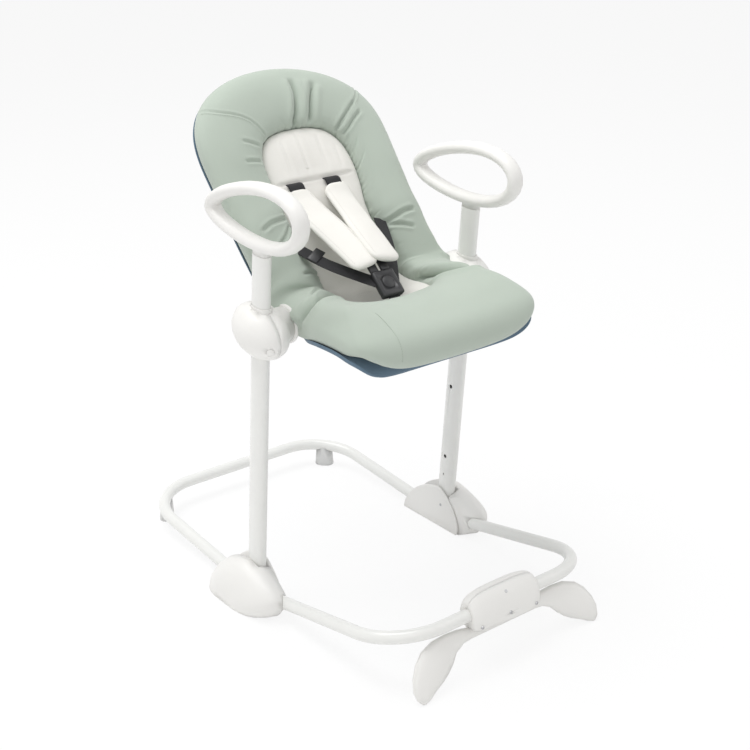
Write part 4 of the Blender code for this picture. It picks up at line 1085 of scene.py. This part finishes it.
class BOUNCER_OT_cover(bpy.types.Operator):
    """Build the sage padded cover with its gathers, seams and folds"""

    bl_idname = "bouncer.cover"
    bl_label = "Padded Cover"

    def execute(self, context):
        points, share = rim_surface()
        normals = outward_normals(points, (0, -1, 0))
        moved = soft_noise(points, 9.0, 3) * COVER_UNEVEN * np.sin(np.pi * share)
        folds = [(places, *shape) for places in HIP_FOLDS for shape in HIP_CREASES]
        seams = [(places, *SEAM_CREASE) for places in SHOULDER_SEAMS]
        for places, *shape in (*COVER_CREASES, *folds, *seams):
            moved = moved + crease(points, rim_line(places), *shape)
        moved = moved + self.gathers(points)
        points = points + normals * moved[..., None]
        inner = seat.inner(RIM_COLUMNS)
        outer = cover_outline(RIM_COLUMNS)
        middle = (PAD_LOW + PAD_HIGH) / 2
        depth = FACE_AT_SEAM - HOLLOW_DROP
        hollow = [seat.ring(middle, inner, k, depth) for k in np.linspace(0.0, 0.97, 20)]
        back = []
        for k, off in (*TURNED_EDGE, *((k, COVER_BACK) for k in np.linspace(0.95, 0.0, 28))):
            ring = seat.ring(middle, outer, k, off)
            near_edge = smooth_step(k, 0.80, 0.97)
            ring[:, 2] -= skirt_drop(outer[:, 1]) * near_edge
            ring[:, 0] += (points[-1, :, 0] - outer[:, 0]) * near_edge
            back.append(ring)
        round_edge = arc_lengths(seat.place(outer[:, 0], outer[:, 1], 0))[-1]
        whole = np.array([*hollow, *points, *back])
        uv = flat_map(whole, np.arange(RIM_COLUMNS) * (round_edge / RIM_COLUMNS))
        cover = grid_mesh("padded_cover", whole, uv, sharp=0)
        finish_piece(cover, cover_cloth(), "seat", ["seat_cushion"])
        lines = []
        for places in SEWN_SEAMS:
            line = even_points(rim_line(places), 60)
            behind = np.array(seat.place(line[:, 0] * 0, 0.45, -0.10))
            lines.append(line + unit(line - behind) * THREAD_LIFT)
        make_stitches("cover_stitches", lines, thread(), "seat")
        return {"FINISHED"}

    def gathers(self, points):
        """Short puckers that spread from the seam round the pale pad."""
        chance = np.random.default_rng(11)
        total = np.zeros(points.shape[:2])
        columns = np.arange(RIM_COLUMNS)[None, :]
        spacing = np.linalg.norm(np.roll(points, -1, axis=1) - points, axis=2)
        steps = np.linalg.norm(np.diff(points, axis=0), axis=2)
        reach = np.concatenate([np.zeros((1, RIM_COLUMNS)), np.cumsum(steps, axis=0)])
        count = sizes().gather_count
        for k in range(count):
            at = (k + chance.uniform(-0.35, 0.35)) / count * RIM_COLUMNS
            long = chance.uniform(*PUCKER_REACH)
            depth = sizes().gather_depth * chance.uniform(0.2, 1.0)
            wide = chance.uniform(*PUCKER_WIDTH)
            slant = chance.uniform(-PUCKER_SLANT, PUCKER_SLANT)
            gap = (columns - at + RIM_COLUMNS / 2) % RIM_COLUMNS - RIM_COLUMNS / 2
            gap = gap * spacing - slant * reach
            fade = np.clip(1 - reach / long, 0, 1) ** 1.2
            total -= depth * fade * np.exp(-((gap / wide) ** 2))
        return total


# Folds of the head part: across, from, to and depth
HEAD_FOLDS = (
    (-0.034, 0.575, 0.655, 0.0014),
    (0.004, 0.575, 0.668, 0.0016),
    (0.048, 0.575, 0.655, 0.0013),
    (0.080, 0.575, 0.630, 0.0010),
)
HEAD_FOLD_SHAPE = (0.0045, (0.2, 0.1), 0.5)
HEAD_CREASE_SHAPE = (0.0024, 0.0024, (0, 0), 0.3)

# The pale pad: its grid, the ends of its middle line, then heights over the seat's middle surface
PAD_COLUMNS = 420
PAD_ROWS = 44
PAD_SPINE_MARGIN = 0.085
PAD_EDGE = 0.0155
PAD_CROWN = 0.0115
HEAD_RISE = 0.0045
PAD_BACK = 0.0105
PAD_UNEVEN = 0.0010


class BOUNCER_OT_middle_pad(bpy.types.Operator):
    """Build the pale pad in the middle of the cover, with its head rest and harness slits"""

    bl_idname = "bouncer.middle_pad"
    bl_label = "Middle Pad"

    def execute(self, context):
        inner = seat.inner(PAD_COLUMNS, -0.0008)
        spine_t = np.clip(inner[:, 1], PAD_LOW + PAD_SPINE_MARGIN, PAD_HIGH - PAD_SPINE_MARGIN)
        share = np.sin(np.linspace(0, np.pi / 2, PAD_ROWS))[:, None]
        x = inner[None, :, 0] * share
        t = spine_t[None] + (inner[None, :, 1] - spine_t[None]) * share
        head = smooth_step(t, SLIT_AT + 0.006, SLIT_AT + 0.016)
        height = PAD_EDGE + PAD_CROWN * (1 - share**5) ** 0.6 + HEAD_RISE * head * (1 - share**4)
        points = seat.place(x, t, height)
        normals = outward_normals(points, (0, -1, 0))
        moved = soft_noise(points, 8.0, 21) * PAD_UNEVEN * (1 - share)
        line = seat.place(np.linspace(-0.085, 0.112, 40), SLIT_AT + 0.007, 0.026)
        moved = moved + crease(points, line, *HEAD_CREASE_SHAPE)
        for at, low, high, depth in HEAD_FOLDS:
            fold = seat.place(at, np.linspace(low, high, 12), 0.029)
            moved = moved + crease(points, fold, depth, *HEAD_FOLD_SHAPE)
        points = points + normals * moved[..., None]
        reach = inner[:, 1] - spine_t
        back = [seat.place(inner[:, 0] * k, spine_t + reach * k, PAD_BACK) for k in (1.0, 0.6, 0.0)]
        whole = np.array([*points, *back])
        uv = flat_map(whole, np.arange(PAD_COLUMNS) * 0.0026)
        pad = grid_mesh("pale_middle_pad", whole, uv, caps=False, sharp=0)
        finish_piece(pad, cream_cloth(), "seat", ["centre_pad"])
        return {"FINISHED"}


# The sling's edge as (share of the outline, height): rolled in a hem at the front, tucked flat at the back
HEM = (
    (0.980, -0.0122),
    (0.996, -0.0105),
    (1.000, -0.0120),
    (1.001, -0.0150),
    (0.996, -0.0178),
    (0.975, -0.0170),
)
TUCKED_EDGE = (
    (0.970, -0.0128),
    (0.984, -0.0124),
    (0.990, -0.0128),
    (0.992, -0.0138),
    (0.990, -0.0150),
    (0.980, -0.0158),
)
SLING_COLUMNS = 360
SLING_MIDDLE = 0.47
SLING_FACES = (-0.0130, -0.0160)

# The loop tube under the sling: its distance from the front and the back of the seat, its corners' reach,
# its share of the seat's width and its depth under the seat
LOOP_ENDS = (0.090, 0.060)
LOOP_CORNER = 0.110
LOOP_SHARE = 0.72
LOOP_DEPTH = 0.0145


class BOUNCER_OT_sling(bpy.types.Operator):
    """Build the slate sling under the cover, with its bound edge and frame tube"""

    bl_idname = "bouncer.sling"
    bl_label = "Sling and Frame Tube"

    def execute(self, context):
        outer = seat.outer(SLING_COLUMNS)
        t = outer[:, 1]
        flat = np.linspace(0.0, 0.95, 30)
        drop = skirt_drop(t)
        faces = []
        for off in SLING_FACES:
            rings = [seat.ring(SLING_MIDDLE, outer, k, off) for k in flat]
            for k, ring in zip(flat, rings):
                ring[:, 2] -= drop * smooth_step(k, 0.80, 0.95)
            faces.append(rings)
        hem = np.array(HEM)[:, None]
        edge = hem + (np.array(TUCKED_EDGE)[:, None] - hem) * smooth_step(t, 0.215, 0.290)[:, None]
        hang = drop + np.maximum(HEM_SHOWN * fade_out(t, 0.27, 0.34), FRONT_HANG * fade_out(t, 0.0, 0.09))
        rolled = [seat.ring(SLING_MIDDLE, outer, row[:, :1], row[:, 1]) for row in edge]
        for ring in rolled:
            ring[:, 2] -= hang
        whole = np.array([*faces[0], *rolled, *faces[1][::-1]])
        uv = flat_map(whole, np.arange(SLING_COLUMNS) * 0.006)
        sling = grid_mesh("slate_sling", whole, uv, caps=False, sharp=0)
        finish_piece(sling, sling_cloth(), "seat", ["seat_sling"])
        self.frame_tube()
        return {"FINISHED"}

    def frame_tube(self):
        low, high = LOOP_ENDS[0], seat.length - LOOP_ENDS[1]
        k = (np.arange(90) + 0.5) / 90
        t = low + (high - low) * (0.45 * (0.5 - 0.5 * np.cos(np.pi * k)) + 0.55 * k)
        near = np.minimum(1.0, np.minimum(t - low, high - t) / LOOP_CORNER)
        x = LOOP_SHARE * seat.line(t)[:, 2] * np.sqrt(1 - (1 - near) ** 2.4)
        width = seat.half_width(t)
        edge = np.sqrt(1 - (1 - np.clip(np.minimum(t, seat.length - t) / 0.05, 0, 1)) ** 2)
        depth = 0.012 * np.maximum(0, 1 - (x / width) ** 2) ** 0.25 * edge + LOOP_DEPTH
        right = seat.place(x, t, -depth)
        path = np.vstack([right, right[::-1] * (-1, 1, 1)])
        radius = sizes().frame_radius
        make_tube("seat_loop_tube", path, radius, white_enamel(), "seat", ["seat_frame_tube"], True, 24)


# The harness

BUCKLE = Vector((0.0, -0.100 + POST_FOOT_Y, 0.6145))
BUCKLE_HALF = Vector((0.024, 0.027, 0.0075))
TILT = Matrix.Rotation(math.radians(42), 3, "X")
BUCKLE_UP = TILT @ Vector((0, 0, 1))
BUCKLE_FORE = TILT @ Vector((0, -1, 0))
PAD_TOP = 0.018 - 0.0018 + 0.010
SLIT_AT = 0.560
SLIT_ACROSS = {1: 0.045, -1: -0.040}
WAIST_SLITS = {1: (0.112, 0.462), -1: (-0.097, 0.450)}
STRAPS_FACE = (0, -0.75, 0.66)

# Width and thickness of the webbing, of the shoulder straps' ends and of the loops in the slits
WEBBING = (0.025, 0.0022)
SHOULDER_WEB = (0.020, 0.0022)
SLIT_WEB = (0.034, 0.0030)
SLIT_LOOP = ((0.008, -0.006), (0.002, 0.0040), (-0.006, 0.0065), (-0.020, 0.0065))

# The shoulder pads: half width on each side, half thickness, length of the rounded ends and unevenness
STRAP_PAD_HALF = {1: 0.0325, -1: 0.0290}
STRAP_PAD_THICK = 0.0084
STRAP_PAD_END = 0.020
STRAP_PAD_UNEVEN = 0.0005
STRAP_PAD_COLUMNS = 48


def ribbon(name, points, size, facing, steps):
    """A flat strap of some width and thickness along a smooth path, its broad side towards `facing`."""
    width, thick = size
    path = even_points(smooth_rows(points, 12), steps)
    across = np.cross(np.gradient(path, axis=0), np.array(facing, float))
    rings = sections(path, oval(width / 2, thick / 2, 16, 6.0), across)
    uv = np.stack(np.meshgrid(arc_lengths(rings[0]), arc_lengths(path)), axis=-1)
    return grid_mesh(name, rings, uv)


def strap_line(side):
    """The line of a shoulder pad, from its slit to the buckle."""
    lift = PAD_TOP + 0.006
    across = SLIT_ACROSS[side]
    start = seat.place(across, SLIT_AT - 0.008, lift - 0.0010)
    second = seat.place(across, SLIT_AT - 0.040, lift + 0.0065)
    tongue = BUCKLE + Vector((side * BUCKLE_HALF.x * 0.52, 0, 0)) - BUCKLE_FORE * (BUCKLE_HALF.y + 0.0153)
    end = tongue + BUCKLE_FORE * 0.006 + BUCKLE_UP * (0.018 if side > 0 else 0.011)
    end.x = 0.0150 if side > 0 else -0.0270
    middle = start + (np.array(end) - start) * 0.62 + np.array((0, 0.004, -0.002))
    return [start, second, middle, np.array(end)], tongue


class BOUNCER_OT_shoulder_pads(bpy.types.Operator):
    """Build the two padded shoulder straps with rounded ends and edge stitching"""

    bl_idname = "bouncer.shoulder_pads"
    bl_label = "Shoulder Pads"

    def execute(self, context):
        for side, mark in ((-1, "R"), (1, "L")):
            points, tongue = strap_line(side)
            self.pad(side, mark, points)
            tail = np.array(tongue - BUCKLE_FORE * 0.0156)
            line = [tail + unit(points[2] - points[3]) * 0.014, tail - np.array(BUCKLE_FORE) * 0.003, tail]
            web = ribbon(f"shoulder_strap_{mark}", line, SHOULDER_WEB, BUCKLE_UP, 12)
            finish_piece(web, strap_cloth(), "seat", [f"shoulder_web_{mark}"])
            across = SLIT_ACROSS[side]
            line = [seat.place(across, SLIT_AT + along, PAD_TOP + off) for along, off in SLIT_LOOP]
            loop = ribbon(f"slit_strap_{mark}", line, SLIT_WEB, STRAPS_FACE, 14)
            finish_piece(loop, strap_cloth(), "seat", ())
        return {"FINISHED"}

    def pad(self, side, mark, points):
        path = even_points(smooth_rows(points, 16), 90)
        facing = np.array((0.12 * side, *STRAPS_FACE[1:]))
        along = arc_lengths(path)
        share = along / along[-1]
        near = np.minimum(along, along[-1] - along) / STRAP_PAD_END
        ends = np.sqrt(np.maximum(0.0, 1 - (1 - np.clip(near, 0, 1)) ** 2.4))
        ends = np.maximum(ends, 0.02)
        wide = STRAP_PAD_HALF[side] * (0.35 + 0.65 * ends) * (0.94 + 0.09 * np.sin(share * 3.0))
        thick = STRAP_PAD_THICK * (0.15 + 0.85 * ends)
        outlines = np.array([oval(a, b, STRAP_PAD_COLUMNS, 2.5) for a, b in zip(wide, thick)])
        rings = sections(path, outlines, np.cross(np.gradient(path, axis=0), facing))
        normals = outward_normals(rings, rings - path[:, None])
        rings = rings + normals * (soft_noise(rings, 18.0, 31 + side) * STRAP_PAD_UNEVEN)[..., None]
        uv = np.stack(np.meshgrid(np.linspace(0, 0.11, STRAP_PAD_COLUMNS), along), axis=-1)
        pad = grid_mesh(f"padded_strap_{mark}", rings, uv, sharp=0)
        finish_piece(pad, cream_cloth(), "seat", [f"shoulder_pad_{mark}"])
        columns = (5, 18) if np.sum((rings[40, 5] - path[40]) * facing) > 0 else (29, 42)
        borders = [rings[6:-6, k] + unit(facing) * 0.0003 for k in columns]
        make_stitches(f"strap_stitches_{mark}", borders, cream_thread(), "seat")


class BOUNCER_OT_straps(bpy.types.Operator):
    """Build the waist straps and the crotch strap"""

    bl_idname = "bouncer.straps"
    bl_label = "Waist and Crotch Straps"

    def execute(self, context):
        for side, mark in ((-1, "R"), (1, "L")):
            root = seat.place(*WAIST_SLITS[side], PAD_TOP + 0.004)
            inside = np.array(BUCKLE + Vector((side * BUCKLE_HALF.x * 0.74, 0, 0)) - BUCKLE_FORE * 0.0054)
            middle = (root + inside) / 2 + np.array((side * 0.010, 0.004, -0.001))
            strap = ribbon(f"waist_strap_{mark}", [root, middle, inside], WEBBING, BUCKLE_UP, 30)
            finish_piece(strap, strap_cloth(), "seat", [f"waist_web_{mark}"])
        front = BUCKLE + BUCKLE_FORE * (BUCKLE_HALF.y + 0.0006)
        foot = Vector(seat.place(0, 0.190, 0.016))
        points = [front, front + BUCKLE_FORE * 0.004, foot + Vector((0, -0.004, 0.012)), foot]
        crotch = ribbon("crotch_strap", points, WEBBING, BUCKLE_UP, 20)
        finish_piece(crotch, strap_cloth(), "seat", ["crotch_web"])
        return {"FINISHED"}


class BOUNCER_OT_buckle(bpy.types.Operator):
    """Build the buckle, its round button, tongues and the strap slider"""

    bl_idname = "bouncer.buckle"
    bl_label = "Buckle"

    def execute(self, context):
        dress(["buckle_body"], black_plastic(), "seat")
        dress(["buckle_button"], black_plastic(), "buckle_press")
        dark = ["buckle_tongue_L", "buckle_tongue_R", "waist_adjuster"]
        dress(dark, black_plastic(), "seat")
        return {"FINISHED"}


# The hard pieces

# Share of each bracket's depth that shows under the cover
BRACKET_DEPTH = 0.55

# Screw heads of the front foot and of the far side foot: point and facing
FOOT_SCREWS = (
    ((-0.0026, -0.4222, 0.1340), (0.0, -0.755, 0.655)),
    ((-0.0030, -0.4372, 0.0984), (0.0, -0.987, 0.163)),
    ((0.0632, -0.4358, 0.0902), (0.184, -0.981, -0.054)),
    ((-0.0678, -0.4350, 0.0906), (-0.184, -0.982, -0.047)),
    ((0.2193, 0.0045, 0.0536), (-1.0, 0.0, 0.0)),
)


# Base loops: half the span between their ends and the height of the tube's middle at a side foot. Each has
# its reach, its corners' radius, the middle's height at that reach, and its start from the side foot.
BASE_HALF_SPAN = 0.2418
BASE_LOW = 0.0153
BASE_LOOPS = {
    "base_front_tube": (-1, 0.4228, 0.105, 0.1068, 0.030),
    "base_rear_tube": (1, 0.4209, 0.1117, 0.0493, 0.036),
}


def tube_route(sign, reach, corner, height, start):
    """One loop of the base as points, from one side foot round to the other."""
    half = BASE_HALF_SPAN
    rise = (height - BASE_LOW) / reach
    turn = np.linspace(0, np.pi / 2, 28)
    x = np.concatenate([[half], half - corner + corner * np.cos(turn)])
    y = np.concatenate([[start], reach - corner + corner * np.sin(turn)])
    plan = np.stack([x, y], axis=1)
    plan = np.vstack([plan, plan[::-1] * (-1, 1)])
    return np.stack([plan[:, 0], POST_FOOT_Y + sign * plan[:, 1], BASE_LOW + rise * plan[:, 1]], axis=1)


class BOUNCER_OT_base(bpy.types.Operator):
    """Build the enamelled floor tubes, the side feet and the front foot"""

    bl_idname = "bouncer.base"
    bl_label = "Base"

    def execute(self, context):
        for node, shape in BASE_LOOPS.items():
            name = node.replace("_tube", "_loop")
            route = tube_route(*shape)
            make_tube(name, route, sizes().tube_radius, white_enamel(), "base", [node], False, 40)
        shells = ["foot_shell_outer_L", "foot_shell_outer_R", "foot_shell_inner_L", "foot_shell_inner_R"]
        dress([*shells, "front_foot_cover", "front_foot_base"], white_shell(), "base")
        make_screws("foot_screws", FOOT_SCREWS, steel(), "base")
        dress(["rear_foot_L", "rear_foot_R"], pale_rubber(), "base")
        dress(["fold_axle_L", "fold_axle_R"], steel(), "base")
        return {"FINISHED"}


class BOUNCER_OT_uprights(bpy.types.Operator):
    """Build the posts, their end lugs and the loop handles"""

    bl_idname = "bouncer.uprights"
    bl_label = "Posts and Loop Handles"

    def execute(self, context):
        for mark in "RL":
            dress([f"upright_{mark}"], white_enamel(), "uprights")
            plastic = [f"upright_end_lug_{mark}", f"loop_handle_{mark}"]
            dress(plastic, white_shell(), "uprights")
        return {"FINISHED"}


class BOUNCER_OT_hubs(bpy.types.Operator):
    """Build the egg-shaped hubs, their buttons and the recline joints"""

    bl_idname = "bouncer.hubs"
    bl_label = "Hubs"

    def execute(self, context):
        for mark, button_body in (("L", "button_left"), ("R", "button_right")):
            shells = [f"hub_outer_shell_{mark}", f"hub_inner_shell_{mark}", f"glide_bush_{mark}"]
            dress(shells, white_shell(), "hubs")
            dress([f"recline_axle_{mark}"], steel(), "hubs")
            dress([f"release_button_{mark}"], white_shell(), button_body)
            dress([f"recline_disc_{mark}"], white_shell(), "seat")
            bracket = node_copy(f"seat_bracket_{mark}")
            top = max(v.co.z for v in bracket.data.vertices)
            for v in bracket.data.vertices:
                v.co.z = top - (top - v.co.z) * BRACKET_DEPTH
            finish_piece(bracket, bracket_plastic(), "seat", [f"seat_bracket_{mark}"])
        return {"FINISHED"}


# The lamps as name, place, size and power, all turned to one point, and the camera of the photo
LAMPS = (
    ("key_lamp", (-0.8, 1.0, 4.1), 2.8, 104.0),
    ("fill_lamp", (-2.6, -2.4, 2.2), 3.4, 22.0),
    ("side_lamp", (2.8, -1.6, 2.6), 3.2, 16.0),
)
LAMPS_FACE = (0, 0, 0.45)
SKY_STRENGTH = 0.62
FLOOR_HALF = 9.0
FLOOR_COLOUR = (0.93, 0.93, 0.93, 1)
FLOOR_GLOW = 0.84
LENS = 65.07
CAMERA_AT = (-1.46722, -1.90202 + POST_FOOT_Y, 1.40440)
CAMERA_TARGET = (0.0, -0.06508 + POST_FOOT_Y, 0.42406)


class BOUNCER_OT_stage(bpy.types.Operator):
    """Set the floor, the world, the lamps and the camera"""

    bl_idname = "bouncer.stage"
    bl_label = "Stage"

    def execute(self, context):
        scene = context.scene
        scene.view_settings.view_transform = "Standard"
        mesh = bmesh.new()
        bmesh.ops.create_grid(mesh, x_segments=1, y_segments=1, size=FLOOR_HALF)
        floor = bm_object("floor", mesh)
        floor.data.materials.append(self.floor_material())
        self.world(scene)
        for lamp in LAMPS:
            self.lamp(*lamp)
        lens = bpy.data.cameras.new("camera")
        lens.lens = LENS
        lens.sensor_width = 36.0
        lens.clip_end = 50.0
        camera = link("camera", lens)
        camera.location = CAMERA_AT
        target = Vector(CAMERA_TARGET)
        camera.rotation_euler = (target - camera.location).to_track_quat("-Z", "Y").to_euler()
        scene.camera = camera
        return {"FINISHED"}

    def floor_material(self):
        material = bpy.data.materials.new("White Floor")
        material.use_nodes = True
        tree = material.node_tree
        tree.nodes.clear()
        out = tree.nodes.new("ShaderNodeOutputMaterial")
        mix = tree.nodes.new("ShaderNodeMixShader")
        rays = tree.nodes.new("ShaderNodeLightPath")
        plain = tree.nodes.new("ShaderNodeBsdfDiffuse")
        plain.inputs["Color"].default_value = FLOOR_COLOUR
        glow = tree.nodes.new("ShaderNodeEmission")
        seen = math_node(tree, "MULTIPLY", rays.outputs["Is Camera Ray"], FLOOR_GLOW)
        mixed = ((seen, mix.inputs[0]), (plain.outputs[0], mix.inputs[1]), (glow.outputs[0], mix.inputs[2]))
        wire(tree, *mixed, (mix.outputs[0], out.inputs[0]))
        return material

    def world(self, scene):
        world = bpy.data.worlds.new("studio")
        scene.world = world
        world.use_nodes = True
        tree = world.node_tree
        tree.nodes.clear()
        out = tree.nodes.new("ShaderNodeOutputWorld")
        mix = tree.nodes.new("ShaderNodeMixShader")
        rays = tree.nodes.new("ShaderNodeLightPath")
        sky = tree.nodes.new("ShaderNodeBackground")
        sky.inputs["Strength"].default_value = SKY_STRENGTH
        white = tree.nodes.new("ShaderNodeBackground")
        white.inputs["Strength"].default_value = 1.0
        for step in (sky, white):
            step.inputs["Color"].default_value = (1, 1, 1, 1)
        camera, glossy = rays.outputs["Is Camera Ray"], rays.outputs["Is Glossy Ray"]
        seen = math_node(tree, "ADD", camera, glossy, clamp=True)
        mixed = ((seen, mix.inputs[0]), (sky.outputs[0], mix.inputs[1]), (white.outputs[0], mix.inputs[2]))
        wire(tree, *mixed, (mix.outputs[0], out.inputs[0]))

    def lamp(self, name, place, size, power):
        light = bpy.data.lights.new(name, "AREA")
        light.size = size
        light.energy = power
        thing = link(name, light)
        thing.location = place
        thing.rotation_euler = (Vector(LAMPS_FACE) - Vector(place)).to_track_quat("-Z", "Y").to_euler()


OPERATORS = (
    BOUNCER_OT_base,
    BOUNCER_OT_uprights,
    BOUNCER_OT_hubs,
    BOUNCER_OT_cover,
    BOUNCER_OT_middle_pad,
    BOUNCER_OT_sling,
    BOUNCER_OT_shoulder_pads,
    BOUNCER_OT_straps,
    BOUNCER_OT_buckle,
    BOUNCER_OT_stage,
)


class BOUNCER_PT_panel(bpy.types.Panel):
    """Lists the bouncer's pieces and settings"""

    bl_idname = "BOUNCER_PT_panel"
    bl_label = "Baby Bouncer"
    bl_space_type = "VIEW_3D"
    bl_region_type = "UI"
    bl_category = "Bouncer"

    def draw(self, context):
        for group in (context.scene.bouncer_sizes, context.scene.bouncer_colours):
            box = self.layout.box()
            for name in group.__annotations__:
                box.prop(group, name)
        for operator in OPERATORS:
            self.layout.operator(operator.bl_idname)


CLASSES = (BouncerSizes, BouncerColours, *OPERATORS, BOUNCER_PT_panel)


def register():
    for item in CLASSES:
        bpy.utils.register_class(item)
    bpy.types.Scene.bouncer_sizes = PointerProperty(type=BouncerSizes)
    bpy.types.Scene.bouncer_colours = PointerProperty(type=BouncerColours)


def unregister():
    del bpy.types.Scene.bouncer_colours
    del bpy.types.Scene.bouncer_sizes
    for item in reversed(CLASSES):
        bpy.utils.unregister_class(item)


def main():
    register()
    for operator in OPERATORS:
        group, name = operator.bl_idname.split(".")
        getattr(getattr(bpy.ops, group), name)()


if __name__ == "__main__":
    main()
